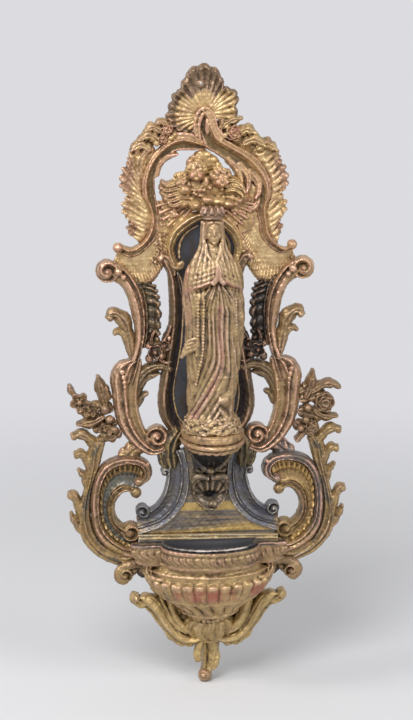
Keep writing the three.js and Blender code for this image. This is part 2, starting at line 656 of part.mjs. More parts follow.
// Flower sprays: a bloom, two leaves and buds growing from the outside of each side scroll
const sprayBuds = [[[56, -27.5], 3], [[54, -38], 3.6], [[58.5, -38], 3.4]];
const sprayLeaves = [
  [[58.5, -27], [59.2, -17], [60.4, -8.5]],
  [[58, -32], [65, -34], [73, -34.5]],
];
const bloomCentre = [68.8, -24.8];
const petalCount = 5;
const petalReach = 6.8;
const flowerSpray = bothSides((side, name) => {
  const outline = share(petalCount * 3).slice(0, -1).map((t) => {
    const angle = 2 * Math.PI * t;
    const reach = petalReach * (0.8 + 0.2 * Math.cos(petalCount * (angle - Math.PI / 2)));
    return [side * (bloomCentre[0] + reach * Math.cos(angle)), bloomCentre[1] + reach * Math.sin(angle)];
  });
  const petals = plate(outline, 0, bloomRelief - 2);
  const eye = boss(side, bloomCentre, [2.8, 2.8], bloomRelief + 1, { facets: 6 });
  const stalk = leaf(side, [[48, -35], [54, -33], [60, -30], [66, -26.5]], [3, 3, 2.2, 1.8], {
    steps: 6, relief: leafRelief - 2,
  });
  const [upper, lower] = sprayLeaves.map((spine) => leaf(side, spine, [2, 3.4, 0.8], {
    steps: 5, relief: leafRelief,
  }));
  const buds = sprayBuds.map(([middle, r]) => boss(side, middle, [r, r], bloomRelief, { facets: 7 }));
  return cut(
    join(stalk, petals, eye, upper, lower, ...buds),
    sideScroll[name], acanthus[name], cScroll[name],
  );
});

// Console: two concave scrolled bands with a plain field between them
const consoleOuter = [
  [27, -53.5], [22.5, -59.5], [22.8, -68], [25, -76], [29, -82.5], [34, -85], [40, -87],
];
const consoleInner = [
  [12, -53.5], [10.8, -61], [10.5, -71], [13.5, -82], [19.5, -90], [27, -95], [39, -98.5],
];
const consoleScroll = bothSides((side, name) => {
  const sweep = band(side, consoleOuter, consoleInner, {
    moulding: gutterMoulding, relief: consoleScrollRelief,
  });
  const eye = volute(side, [36.8, -86.3], 3.4, consoleScrollRelief + 0.5);
  return cut(join(sweep, eye), plateBlank, socle, sideScroll[name], cScroll[name], cRail[name]);
});
const consoleFieldHalf = beside(consoleInner, -seam);
const consoleBody = cut(
  band(1, consoleFieldHalf, mirrored(consoleFieldHalf), {
    moulding: [0.9, 1, 0.9], relief: consoleBodyRelief,
  }),
  plateBlank, consoleScroll.left, consoleScroll.right, socle,
);

// Corbel: the hollowed bracket that carries the socle
const corbelTop = socleTop - socleHeight - clearance;
const corbelLevels = [[0, 13, 26], [0.2, 11.5, 22], [0.5, 9.5, 16.5], [0.8, 8, 13.5], [1, 7, 12]];
const corbel = cut(
  loft(corbelLevels.map(([drop, half, front]) => halfRound(
    half, front, consoleBodyRelief + clearance, corbelTop - drop * corbelHeight, figureShift / 2, 12,
  ))),
  consoleBody, consoleScroll.left, consoleScroll.right, socle,
);

// Cartouche: a small shell shield on the console's field
const shield = [
  [[0, -74], [8.5, 11.5]], [[-4.5, -65.5], [3.2, 3]], [[0, -64], [3.2, 3]], [[4.5, -65.5], [3.2, 3]],
];
const cartouche = cut(
  join(...shield.map(([middle, size]) => boss(
    1, middle, size, cartoucheRelief, { back: consoleBodyRelief + clearance, facets: 10 },
  ))),
  corbel, consoleBody, consoleScroll.left, consoleScroll.right,
);

// Basin: a back block with a ledge, an ornamented rim with two ears, and a gadrooned bowl
const blockHalfWidth = 40;
const rimBottom = rimTop - rimHeight;
const basinScrewReach = blockHalfWidth - 7;
const basinScrewPlaces = {
  left: [-basinScrewReach, rimTop - rimHeight / 2], right: [basinScrewReach, rimTop - rimHeight / 2],
};
const basinScrewLength = backBlockDepth + screwGrip;
const basinScrew = bothSides((_, name) => screw(basinScrewPlaces[name], clearance, basinScrewLength));
const blockShape = [
  [-blockHalfWidth, rimTop + ledgeRise], [blockHalfWidth, rimTop + ledgeRise],
  [blockHalfWidth - 3, rimBottom], [3 - blockHalfWidth, rimBottom],
];
const backBlock = cut(
  plate(blockShape, 0, backBlockDepth), consoleBody, consoleScroll.left, consoleScroll.right,
  cScroll.left, cScroll.right, cRail.left, cRail.right, cShell.left, cShell.right,
  basinScrew.left, basinScrew.right,
);

// Liner: a thin D-shaped cup with a flat flange that rests on the rim
const linerRear = backBlockDepth + basinWallThickness;
const linerFront = rimFront - basinWallThickness - linerFlange;
const linerHalfWidth = rimArcHalfWidth - basinWallThickness;
const linerLevels = [[0, 1], [0.55, 0.93], [0.85, 0.75], [1, 0.5]];
const linerCup = (inset, top, depth) => loft(linerLevels.map(([drop, size], index) => {
  const middle = (linerFront + linerRear) / 2;
  const reach = ((linerFront - linerRear) / 2) * (0.5 + size / 2) - inset;
  const z = index === 0 ? top : rimTop - drop * depth;
  return halfRound(size * linerHalfWidth - inset, middle + reach, middle - reach, z, 0, 12);
}));
const flangeRing = (z) => halfRound(
  linerHalfWidth + linerFlange, linerFront + linerFlange, linerRear - linerFlange, z, 0, 12,
);
const flangeBase = rimTop + clearance;
const flangeTop = flangeBase + linerFlangeThickness;
const flange = loft([flangeRing(flangeBase), flangeRing(flangeTop)]);
const linerOuter = join(linerCup(0, flangeTop, linerDepth), flange);
const linerSpace = linerCup(linerWall, flangeTop + clearance, linerDepth - linerWall);
const liner = mainBody(linerOuter.subtract(linerSpace));
const linerSeat = swollen(linerOuter);

const rimRear = backBlockDepth + clearance;
const earFront = 19.5;
const rimPlan = (spread, z) => {
  const arc = share(5).map((t) => {
    const angle = t * 0.5 * Math.PI;
    const depth = earFront + (rimFront - earFront) * Math.cos(angle);
    return [spread * rimArcHalfWidth * Math.sin(angle), earFront + (depth - earFront) * spread];
  });
  const ear = [
    [spread * (rimArcHalfWidth + 6), earFront], [spread * (earReach - 2), earFront - 1.5],
    [spread * earReach, earFront - 4.5], [spread * (earReach - 1), rimRear],
  ];
  const half = [...arc, ...ear];
  const whole = [...mirrored(half.slice(1)).reverse(), ...half];
  return whole.map(([x, depth]) => new THREE.Vector3(x, -depth, z));
};
const rimLevels = [[0, 0.98], [0.2, 1], [0.45, 0.94], [1, 0.84]];
const rim = cut(
  loft(rimLevels.map(([drop, spread]) => rimPlan(spread, rimTop - drop * rimHeight))).subtract(linerSeat),
  basinScrew.left, basinScrew.right, backBlock, cScroll.left, cScroll.right, cRail.left, cRail.right,
);

const bowlTop = rimBottom - clearance;
const bowlLevels = [
  [0, 0.94], [0.14, 0.92], [0.2, 0.985], [0.4, 1], [0.57, 0.94], [0.72, 0.65], [0.83, 0.47], [1, 0.35],
];
const gadroonCount = 9;
const bowlRings = bowlLevels.map(([drop, size]) => {
  const gadrooned = drop >= 0.2 && drop <= 0.6;
  const front = bowlDepth * (0.5 + size / 2);
  const ring = halfRound(size * bowlHalfWidth, front, 0, bowlTop - drop * bowlHeight, 0, gadroonCount * 2);
  const last = ring.length - 1;
  return ring.map((point, i) => {
    const groove = gadrooned && i > 0 && i < last && i % 2 === 1 ? 0.97 : 1;
    return new THREE.Vector3(point.x * groove, point.y * groove, point.z);
  });
});
const bowl = mainBody(
  loft(bowlRings).subtract(linerSeat).subtract(swollen(cScroll.left)).subtract(swollen(cScroll.right)),
);

// Brackets: short scrolled arms from the bowl's sides to the feet of the C-scrolls
const bracketSpine = [[34, bowlTop - 5.2], [41, bowlTop - 5.7], [48.5, bowlTop - 9.2]];
const bracketEnd = [49, bowlTop - 10.7];
const bracket = bothSides((side, name) => cut(
  join(
    leaf(side, bracketSpine, [3.4, 3.4, 3.6], { steps: 6, relief: bracketRelief }),
    boss(side, bracketEnd, [3.6, 3.8], bracketRelief),
  ),
  bowl, rim, backBlock, cScroll[name], acanthus[name],
));

// Base: two acanthus leaves hugging the bowl, a boss between them and a pendant leaf
const bossTop = bowlTop - bowlHeight - clearance;
const bossLevels = [[0, 11.5, 19], [0.35, 11, 18], [0.75, 9.5, 14], [1, 7.5, 11]];
const baseBoss = loft(bossLevels.map(([drop, half, front]) => halfRound(
  half, front, 0, bossTop - drop * bossHeight, 0, 12,
)));
const baseSpine = [
  [42, bossTop + 13.1], [33, bossTop + 6.6], [24.5, bossTop - 1.9], [16.5, bossTop - 10.4],
  [8, bossTop - 15.9],
];
const baseAcanthus = bothSides((side) => cut(
  leaf(side, baseSpine, [2, 6, 8, 7.5, 4], { steps: 14, lobes: 4, lobeDepth: 0.2, relief: baseLeafRelief }),
  bowl, baseBoss,
));
const pendantTop = bossTop - bossHeight - clearance;
const pendantSpine = [
  [-1, pendantTop + 2], [-1.5, pendantTop - 0.4 * pendantLength], [-3, pendantTop - pendantLength],
];
const pendant = cut(
  leaf(1, pendantSpine, [7, 7.5, 2.5], { steps: 10, lobes: 3, lobeDepth: 0.2, relief: pendantRelief }),
  baseBoss, baseAcanthus.left, baseAcanthus.right,
);

// The assembly, from the wall outward
place('back_plate', cut(plateBlank, socleScrew), patina);
sides.forEach(([name]) => {
  place(`niche_rail_${name}`, rail[name], copper);
  place(`side_scroll_${name}`, sideScroll[name], copper);
  place(`crest_scroll_${name}`, crestScroll[name], copper);
  place(`arch_fringe_${name}`, fringe[name], gilt);
  place(`crest_roses_${name}`, crestRoses[name], gilt);
  place(`fan_web_${name}`, fanWeb[name], gilt);
  place(`ray_bundle_${name}`, rays[name], gilt);
  place(`side_leaf_${name}`, sideLeaf[name], gilt);
  place(`ruffle_${name}`, ruffle[name], patina);
  place(`inner_leaf_${name}`, innerLeaf[name], gilt);
  place(`inner_bloom_${name}`, innerBloom[name], copper);
  place(`flower_spray_${name}`, flowerSpray[name], gilt);
  place(`c_scroll_${name}`, cScroll[name], copper);
  place(`c_rail_${name}`, cRail[name], gilt);
  place(`c_shell_${name}`, cShell[name], patina);
  place(`outer_acanthus_${name}`, acanthus[name], gilt);
  place(`console_scroll_${name}`, consoleScroll[name], patina);
  place(`basin_bracket_${name}`, bracket[name], gilt);
  place(`base_acanthus_${name}`, baseAcanthus[name], gilt);
  place(`basin_screw_${name}`, basinScrew[name], steel);
});
place('niche_hood', hood, gilt);
place('crest_shell', crestShell, gilt);
place('cherub_glory', glory, gilt);
place('console_body', consoleBody, patina);
place('console_corbel', corbel, patina);
place('console_cartouche', cartouche, gilt);
place('figure_socle', socle, gilt);
place('virgin_figure', figure, gilt);
place('figure_crown', crown, copper);
place('figure_stud', stud, steel);
place('socle_screw', socleScrew, steel);
place('basin_back', backBlock, patina);
place('basin_rim', rim, gilt);
place('basin_bowl', bowl, gilt);
place('basin_liner', liner, patina);
place('base_boss', baseBoss, gilt);
place('pendant_leaf', pendant, gilt);

export default stoup;
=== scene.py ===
import math

import bpy
import numpy as np
from mathutils import Matrix, Vector
from mathutils.kdtree import KDTree


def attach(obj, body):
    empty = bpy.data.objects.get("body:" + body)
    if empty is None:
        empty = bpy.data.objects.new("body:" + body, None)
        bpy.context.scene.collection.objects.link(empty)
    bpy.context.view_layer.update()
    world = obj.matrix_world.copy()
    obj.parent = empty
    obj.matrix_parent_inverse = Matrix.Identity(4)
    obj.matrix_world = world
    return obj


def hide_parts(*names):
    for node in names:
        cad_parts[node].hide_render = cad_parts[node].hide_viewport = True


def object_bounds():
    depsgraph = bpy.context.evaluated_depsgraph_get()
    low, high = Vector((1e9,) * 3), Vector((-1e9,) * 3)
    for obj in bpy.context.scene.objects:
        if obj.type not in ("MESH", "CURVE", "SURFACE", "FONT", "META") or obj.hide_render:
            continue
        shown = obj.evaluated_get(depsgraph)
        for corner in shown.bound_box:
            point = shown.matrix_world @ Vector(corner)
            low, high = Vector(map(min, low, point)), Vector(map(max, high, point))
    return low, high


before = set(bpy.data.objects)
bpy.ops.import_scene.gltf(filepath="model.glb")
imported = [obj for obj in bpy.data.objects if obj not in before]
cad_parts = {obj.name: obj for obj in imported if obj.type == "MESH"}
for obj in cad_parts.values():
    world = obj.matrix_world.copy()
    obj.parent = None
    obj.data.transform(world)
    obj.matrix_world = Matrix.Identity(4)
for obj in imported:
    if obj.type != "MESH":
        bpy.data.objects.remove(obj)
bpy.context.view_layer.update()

# Niche plate: the flat dark ground behind the figure, a sheet of cast metal with a blue-black patina.
# It stays as built and only gets its finish. The wear of every metal piece here is mixed from its own
# colours: gilding on the open faces, bare metal on the ridges, lighter so that it also paints their highlights,
# and soot in the hollows that also paints the shade there, with painted shade deepened in broad cavities.


class Shade:
    """A socket in a material's node tree. Arithmetic on it adds Math nodes."""

    def __init__(self, tree, socket=None):
        self.tree = tree
        self.socket = socket

    def node(self, kind, values, output=0, **settings):
        made = self.tree.nodes.new(kind)
        for name, value in settings.items():
            setattr(made, name, value)
        for key, value in values.items():
            if isinstance(value, Shade):
                self.tree.links.new(value.socket, made.inputs[key])
            else:
                made.inputs[key].default_value = value
        return Shade(self.tree, made.outputs[output] if made.outputs else None)

    def maths(self, operation, *values):
        return self.node("ShaderNodeMath", dict(enumerate(values)), operation=operation)

    def __add__(self, other):
        return self.maths("ADD", self, other)

    __radd__ = __add__

    def __sub__(self, other):
        return self.maths("SUBTRACT", self, other)

    def __rsub__(self, other):
        return self.maths("SUBTRACT", other, self)

    def __mul__(self, other):
        return self.maths("MULTIPLY", self, other)

    __rmul__ = __mul__


def ink(red, green, blue):
    """A colour as it is read off a screen, 0 to 255, in the linear values that a shader takes."""
    return (*(((c / 255 + 0.055) / 1.055) ** 2.4 for c in (red, green, blue)), 1.0)


def worn_metal(
    name, gilding, deep, bare_and_highlight, soot_and_shade, stain_and_painted_light=None, wear_and_highlight=0.5, grime_and_shade=0.5, sheen=0.38, metal=0.45, stretch=(1, 1, 1),
):
    """Gilding in two tones; ridges rubbed bare, in a light colour that also paints their highlights; hollows sooted,
    which also paints their shade; broad cavities darkened as painted shade; and a stain colour where it is marked, in a
    few pieces painted shade or a highlight.
    """
    material = bpy.data.materials.new(name)
    material.use_nodes = True
    tree = material.node_tree
    tree.nodes.clear()
    start = Shade(tree)
    place = start.node("ShaderNodeTexCoord", {}, "Object")
    drawn = start.node("ShaderNodeVectorMath", {0: place, 1: stretch}, operation="MULTIPLY")

    def noise(vector, scale, detail=3.0):
        values = {"Vector": vector, "Scale": scale, "Detail": detail, "Roughness": 0.6}
        return start.node("ShaderNodeTexNoise", values, "Fac")

    def ramp(value, low, high):
        values = {"Value": value, "From Min": low, "From Max": high}
        return start.node("ShaderNodeMapRange", values, interpolation_type="SMOOTHSTEP")

    def mix(share, under, over):
        values = {0: share, 6: under, 7: over}
        return start.node("ShaderNodeMix", values, 2, data_type="RGBA")

    def marked(attribute):
        return start.node("ShaderNodeAttribute", {}, "Fac", attribute_name=attribute)

    patches = noise(drawn, 70.0)
    drift = noise(drawn, 230.0)
    tarnish = noise(place, 140.0, 4.0)
    speckle = noise(place, 800.0, 4.0)
    relief = marked("hollow") + (speckle - 0.5) * 0.1 + (drift - 0.5) * 0.12
    # Ridges, where rubbed, take the bare colour: worn-through metal, chosen light so that it also paints their
    # highlights.
    ridge = ramp(relief, 0.03 - 0.08 * wear_and_highlight, -0.15 - 0.1 * (1 - wear_and_highlight))
    # Crevices take the dark colour: partly soot and patina, partly painted shade.
    crevice = ramp(relief, 0.12 - 0.08 * grime_and_shade, 0.36 - 0.1 * grime_and_shade)
    # Broad cavities are darkened as painted shade, to give depth.
    basin = ramp(marked("cavity") + (drift - 0.5) * 0.4, 0.1, 0.9)
    rubbed = ridge * ramp(patches, 0.56 - 0.3 * wear_and_highlight, 0.76 - 0.3 * wear_and_highlight)
    tone = mix(ramp(drift + patches, 0.72, 1.28), gilding, deep)
    # Marked points take the stain colour: mostly a real stain, in a few pieces painted shade or a painted highlight.
    if stain_and_painted_light:
        tone = mix(ramp(marked("stain_and_painted_light") + (drift - 0.5) * 0.7, 0.3, 0.7) * 0.9, tone, stain_and_painted_light)
    tone = mix(rubbed * 0.9, tone, bare_and_highlight)
    tone = mix(basin * 0.5 * grime_and_shade, tone, soot_and_shade)
    tone = mix(ramp(tarnish, 0.5, 0.72) * 0.5 * grime_and_shade, tone, soot_and_shade)
    tone = mix(crevice * 0.92, tone, soot_and_shade)
    tone = mix(ramp(speckle, 0.56, 0.76) * 0.45 * grime_and_shade, tone, soot_and_shade)
    gloss = sheen + crevice * 0.3 + (speckle - 0.5) * 0.24 - rubbed * 0.06
    pits = noise(place, 1500.0, 2.0)
    bump = start.node("ShaderNodeBump", {"Strength": 0.4, "Distance": 0.0003, "Height": pits + drift * 0.6})
    surface_values = {"Base Color": tone, "Roughness": gloss, "Metallic": metal - crevice * 0.4, "Normal": bump}
    surface = start.node("ShaderNodeBsdfPrincipled", surface_values)
    start.node("ShaderNodeOutputMaterial", {"Surface": surface})
    return material


blue_black = ink(72, 78, 92)
sooty_brown = ink(70, 62, 50)
plate_metal = worn_metal(
    "niche_patina", blue_black, sooty_brown, ink(118, 104, 80), ink(26, 24, 24), wear_and_highlight=0.1, grime_and_shade=0.6, sheen=0.45,
    stretch=(1, 1, 0.3),
)
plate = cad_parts["back_plate"]
plate.data.materials.clear()
plate.data.materials.append(plate_metal)

# Niche rails: upright mouldings at the sides of the plate, cast in gilt metal that has browned.
# Each has a round outer swell, a hollow, a fine bead along the plate and a rolled head at the top.


def spline(points, count):
    """Points on a smooth line through the given ones."""
    knots = np.array(points, float)
    along = np.linspace(0, len(knots) - 1, count)
    index = np.minimum(along.astype(int), len(knots) - 2)
    t = (along - index)[:, None]
    before = knots[np.maximum(index - 1, 0)]
    here = knots[index]
    ahead = knots[index + 1]
    beyond = knots[np.minimum(index + 2, len(knots) - 1)]
    bend = 2 * before - 5 * here + 4 * ahead - beyond
    twist = 3 * here - before - 3 * ahead + beyond
    return 0.5 * (2 * here + (ahead - before) * t + bend * t**2 + twist * t**3)


def moulding(v, stops):
    """Heights across a face that swell and dip from stop to stop."""
    places = np.array([stop[0] for stop in stops])
    heights = np.array([stop[1] for stop in stops])
    index = np.clip(np.searchsorted(places, v, side="right") - 1, 0, len(places) - 2)
    t = np.clip((v - places[index]) / (places[index + 1] - places[index]), 0, 1)
    return heights[index] + (heights[index + 1] - heights[index]) * (3 * t**2 - 2 * t**3)


def skin(rings, stain_and_painted_light=0.0):
    """A closed shell over rings of equally many points, marked with each point's share of the stain colour, which in a
    few pieces paints shade or a highlight.
    """
    rings = np.asarray(rings, float)
    rows, columns, _ = rings.shape
    faces = []
    for row in range(rows - 1):
        for column in range(columns):
            a = row * columns + column
            b = row * columns + (column + 1) % columns
            faces.append((a, b, b + columns, a + columns))
    faces.append(tuple(range(columns))[::-1])
    faces.append(tuple(range((rows - 1) * columns, rows * columns)))
    return rings.reshape(-1, 3), faces, np.broadcast_to(stain_and_painted_light, (rows, columns)).reshape(-1)


def relief_skin(side, plan, rise, back, stain_and_painted_light=0.0):
    """A shell from a relief over a plan of x and z, closed by a flat rear."""
    front = np.stack([side * plan[..., 0], -np.maximum(rise, back + 0.3), plan[..., 1]], axis=-1)
    rear = front[:, [-1, 0]].copy()
    rear[..., 1] = -back
    stain_and_painted_light = np.broadcast_to(stain_and_painted_light, rise.shape)
    return skin(np.concatenate([front, rear], axis=1), np.concatenate([stain_and_painted_light, stain_and_painted_light[:, [-1, 0]]], axis=1))


def strip(side, outer, inner, rise, back=0.0, along=150, across=26, stain_and_painted_light=None):
    """A cast band on the wall between two edge lines; rise gives its depth at u along and v across."""
    outer = spline(outer, along)
    inner = spline(inner, along)
    u, v = np.meshgrid(np.linspace(0, 1, along), np.linspace(0, 1, across), indexing="ij")
    plan = outer[:, None] * (1 - v[..., None]) + inner[:, None] * v[..., None]
    return relief_skin(side, plan, rise(u, v), back, stain_and_painted_light(u, v) if stain_and_painted_light else 0.0)


def ball(side, centre, radii, turns=20, rows=12, stain_and_painted_light=0.0):
    """An ellipsoid at x, depth and z."""
    x, depth, z = centre
    rx, ry, rz = np.broadcast_to(radii, 3)
    lift = np.linspace(-0.49, 0.49, rows) * math.pi
    spin = np.linspace(0, 2 * math.pi, turns, endpoint=False)
    ring_x = side * (x + rx * np.cos(lift)[:, None] * np.cos(spin))
    ring_y = -(depth + ry * np.cos(lift)[:, None] * np.sin(spin))
    ring_z = np.broadcast_to((z + rz * np.sin(lift))[:, None], ring_x.shape)
    return skin(np.stack([ring_x, ring_y, ring_z], axis=-1), stain_and_painted_light)


def mark_surface(mesh, source, stains_and_painted_light):
    """Notes on every point its share of stain and painted light, and how far it lies below its near and its wider
    surroundings, in mm.
    """
    count = len(mesh.vertices)
    place = np.empty(count * 3)
    mesh.vertices.foreach_get("co", place)
    place = place.reshape(-1, 3) * 1000
    normal = np.empty(count * 3)
    mesh.vertices.foreach_get("normal", normal)
    edges = np.empty(len(mesh.edges) * 2, int)
    mesh.edges.foreach_get("vertices", edges)
    a, b = edges.reshape(-1, 2).T
    degree = np.maximum(np.bincount(a, minlength=count) + np.bincount(b, minlength=count), 1)

    def eased(values, passes):
        for _ in range(passes):
            columns = [np.bincount(a, column[b], count) + np.bincount(b, column[a], count) for column in values.T]
            values = np.stack(columns, axis=-1) / degree[:, None]
        return values

    def note(name, values):
        mesh.attributes.new(name, "FLOAT", "POINT").data.foreach_set("value", values.astype(np.float32))

    near = eased(place, 8)
    wide = eased(near, 40)
    note("hollow", ((near - place) * normal.reshape(-1, 3)).sum(axis=1))
    note("cavity", ((wide - place) * normal.reshape(-1, 3)).sum(axis=1))
    if stains_and_painted_light.any():
        tree = KDTree(len(source))
        for index, point in enumerate(source):
            tree.insert(point, index)
        tree.balance()
        found = np.array([stains_and_painted_light[tree.find(point)[1]] for point in place])
        note("stain_and_painted_light", eased(found[:, None], 3)[:, 0])


def roughen(mesh, amount):
    """Gives a skin the uneven surface of an old sand casting, by waves of 1.5 to 5 mm in all directions."""
    count = len(mesh.vertices)
    place = np.empty(count * 3)
    mesh.vertices.foreach_get("co", place)
    normal = np.empty(count * 3)
    mesh.vertices.foreach_get("normal", normal)
    chance = np.random.default_rng(7)
    heading = chance.normal(size=(18, 3))
    heading /= np.linalg.norm(heading, axis=1)[:, None]
    heading *= 2 * math.pi / chance.uniform(0.0015, 0.005, 18)[:, None]
    waves = np.sin(place.reshape(-1, 3) @ heading.T + chance.uniform(0, 6, 18)).sum(axis=1) / math.sqrt(9)
    place = place.reshape(-1, 3) + normal.reshape(-1, 3) * (0.001 * amount * waves)[:, None]
    place[:, 1] = np.minimum(place[:, 1], 0)
    mesh.vertices.foreach_set("co", place.reshape(-1))
    mesh.update()


def cast(name, shapes, finish, slot, *nodes, voxel=0.45, eased=2, rough=0.1):
    """One casting: its shapes are fused and eased into one skin, which stands for its CAD nodes."""
    faces = []
    base = 0
    for points, shape_faces, _ in shapes:
        faces.extend(tuple(base + i for i in face) for face in shape_faces)
        base += len(points)
    points = np.concatenate([shape[0] for shape in shapes])
    points[:, 1] = np.minimum(points[:, 1], 0)
    stains_and_painted_light = np.concatenate([shape[2] for shape in shapes])
    mesh = bpy.data.meshes.new(name)
    mesh.from_pydata((points * 0.001).tolist(), [], faces)
    piece = bpy.data.objects.new(name, mesh)
    bpy.context.collection.objects.link(piece)
    bpy.ops.object.select_all(action="DESELECT")
    piece.select_set(True)
    bpy.context.view_layer.objects.active = piece
    bpy.ops.object.mode_set(mode="EDIT")
    bpy.ops.mesh.select_all(action="SELECT")
    bpy.ops.mesh.normals_make_consistent(inside=False)
    bpy.ops.object.mode_set(mode="OBJECT")
    if voxel:
        fuse = piece.modifiers.new("fuse", "REMESH")
        fuse.mode = "VOXEL"
        fuse.voxel_size = voxel * 0.001
        bpy.ops.object.modifier_apply(modifier=fuse.name)
        ease = piece.modifiers.new("ease", "SMOOTH")
        ease.factor = 0.5
        ease.iterations = eased
        bpy.ops.object.modifier_apply(modifier=ease.name)
    bpy.ops.object.shade_smooth()
    mark_surface(piece.data, points, stains_and_painted_light)
    roughen(piece.data, rough)
    piece.data.materials.append(finish)
    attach(piece, "liner" if "basin_liner" in nodes else "stoup")
    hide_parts(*nodes)
    return piece


def leaf(side, spine, halves, relief, lobes=3.0, notch=0.3, slant=0.5, back=0.0, tip=1.0, stain_and_painted_light=0.0, along=70, across=19):
    """A carved leaf on a line in the wall plane, with a sunk midrib, veins and lobed edges."""
    centre = spline(spine, along)
    heading = np.gradient(centre, axis=0)
    heading /= np.linalg.norm(heading, axis=1)[:, None]
    u, v = np.meshgrid(np.linspace(0, 1, along), np.linspace(-1, 1, across), indexing="ij")
    lobe = np.abs(np.sin(math.pi * lobes * u)) if lobes else np.ones_like(u)
    half = np.interp(u, np.linspace(0, 1, len(halves)), halves) * (1 - notch + notch * lobe)
    spread = (half * v)[..., None] * np.stack([-heading[:, 1], heading[:, 0]], axis=-1)[:, None]
    lean = (half * slant * np.abs(v) ** 1.5)[..., None] * heading[:, None]
    plan = centre[:, None] + spread + lean
    arch = 1 - 0.5 * np.abs(v) ** 2.2
    rib = 0.16 * np.exp(-((v / 0.13) ** 2))
    vein = 0.14 * (lobe - 0.5) * np.abs(v)
    lift = np.interp(u, [0, 0.5, 1], [0.8, 0.92, tip])
    return relief_skin(side, plan, back + (relief - back) * (arch - rib + vein) * lift, back, stain_and_painted_light)


sides = [("left", -1), ("right", 1)]
gold_light = ink(207, 176, 126)
gold_deep = ink(167, 132, 91)
bronze = ink(158, 127, 95)
bronze_deep = ink(110, 86, 66)
copper = ink(192, 148, 122)
# Dark colour for hollows: soot and patina, and painted shade where shade falls in them.
soot_and_shade = ink(48, 36, 27)

rail_metal = worn_metal(
    "rail_bronze", ink(108, 88, 68), ink(128, 105, 76), ink(204, 164, 136), ink(36, 29, 25), stain_and_painted_light=ink(58, 55, 58), wear_and_highlight=0.65, grime_and_shade=0.7,
)
rail_outer = [
    (26, 57), (21.5, 49), (20.5, 38), (20.4, 24), (22.8, 7), (25.8, -11), (27.3, -24), (25.4, -34), (19.6, -43),
]
rail_inner = [
    (19.5, 57), (15.4, 48), (12.7, 34), (12.7, 20), (13.8, 10), (16.2, -7.4), (18, -19.6), (16.2, -32), (12, -41),
]
rail_face = [(0, 0.4), (0.12, 0.66), (0.36, 1), (0.56, 0.78), (0.76, 0.5), (0.88, 0.42), (1, 0.38)]
rail_relief = 8.0
bead_line = [
    (15.6, 50), (13, 43), (12.3, 32), (12.8, 20.4), (13.6, 10), (15.8, -2.6), (17.8, -11), (18.4, -21), (16.6, -31), (13, -36.4),
]
for name, side in sides:
    shapes = [
        strip(
            side, rail_outer, rail_inner, lambda u, v: rail_relief * moulding(v, rail_face),
            stain_and_painted_light=lambda u, v: np.clip(1.6 * v - 0.3, 0, 1) * np.clip(0.45 + u, 0, 1),
        ),
        leaf(side, [(17.6, 47), (18.6, 52), (21, 56.4), (25, 58.6)], [2.2, 3, 3.4, 2.2], 8.6, lobes=0),
        ball(side, (24.6, 5.2, 57.4), (2.4, 3.6, 2.2)),
    ]
    cast(f"rail_{name}", shapes, rail_metal, "copper", f"niche_rail_{name}")

# Niche hood: the arch over the figure's head, a gilt roll with a finer line inside it.
# Both ends turn inwards in small hooks that lie on the plate.


def tube(side, points, radii, facets=12, count=None, stain_and_painted_light=0.0):
    """A rounded rod through points given as x, depth and z, with radii spread along it."""
    count = count or 8 * len(points)
    path = spline(points, count)
    path = np.stack([side * path[:, 0], -path[:, 1], path[:, 2]], axis=-1)
    heading = np.gradient(path, axis=0)
    heading /= np.linalg.norm(heading, axis=1)[:, None]
    reach = np.interp(np.linspace(0, 1, count), np.linspace(0, 1, len(radii)), radii)
    across = np.cross(heading[0], (0.3, 0.5, 0.8))
    angles = np.linspace(0, 2 * math.pi, facets, endpoint=False)
    rings = []
    for centre, ahead, radius in zip(path, heading, reach):
        across = across - ahead * across.dot(ahead)
        across /= np.linalg.norm(across)
        up = np.cross(ahead, across)
        rings.append(centre + radius * (np.outer(np.cos(angles), across) + np.outer(np.sin(angles), up)))
    return skin(rings, stain_and_painted_light)


def mirrored(points, widened=1.0):
    return [(-x * widened, z) for x, z in points]


gilt_metal = worn_metal("gilt_face", gold_light, gold_deep, copper, soot_and_shade, wear_and_highlight=0.45, grime_and_shade=0.6)
hood_metal = worn_metal("hood_gilt", ink(204, 175, 124), ink(168, 134, 88), ink(222, 188, 150), soot_and_shade, wear_and_highlight=0.6, grime_and_shade=0.6)
hood_back = 2.8
hood_relief = 10.2
hood_outer = [(17.4, 53.5), (18.9, 56), (20.8, 63), (18, 73), (10, 80.5), (3, 83)]
hood_inner = [(14.4, 55), (15.6, 58), (16.2, 63), (13.6, 69.2), (7, 75), (2.5, 77.6)]
hood_face = [(0, 0.45), (0.32, 1), (0.56, 0.84), (0.64, 0.66), (0.76, 0.78), (0.88, 0.5), (1, 0.3)]
left_swell = 1.05
hood = [strip(
    1, hood_outer + mirrored(hood_outer, left_swell)[::-1], hood_inner + mirrored(hood_inner, left_swell)[::-1],
    lambda u, v: hood_back + (hood_relief - hood_back) * moulding(v, hood_face), back=2.4, along=200,
)]
for name, side in sides:
    swell = 1.0 if side > 0 else left_swell
    hook = [(17.2, 7, 56), (16.4, 7, 53.4), (14.2, 7, 52.6), (12.9, 7.2, 54), (13.6, 7.6, 55.4)]
    hook = [(x * swell, depth, z) for x, depth, z in hook]
    line = [(13.6, 3, 56), (13.8, 3, 61), (12.6, 3, 66.8), (9.2, 3, 71.4), (3.4, 3, 75)]
    line = [(x * swell, depth, z) for x, depth, z in line]
    hood.append(tube(side, hook, [2, 2.1, 2, 1.8, 1.4]))
    hood.append(ball(side, (13.6 * swell, 7.4, 54.2), (1.5, 2, 1.5)))
    hood.append(tube(side, line, [0.6, 0.8, 0.8, 0.7, 0.5], count=40))
    hood.append(tube(side, [(x, 2.9, z) for x, z in bead_line], [0.45, 0.55, 0.55, 0.5], count=90))
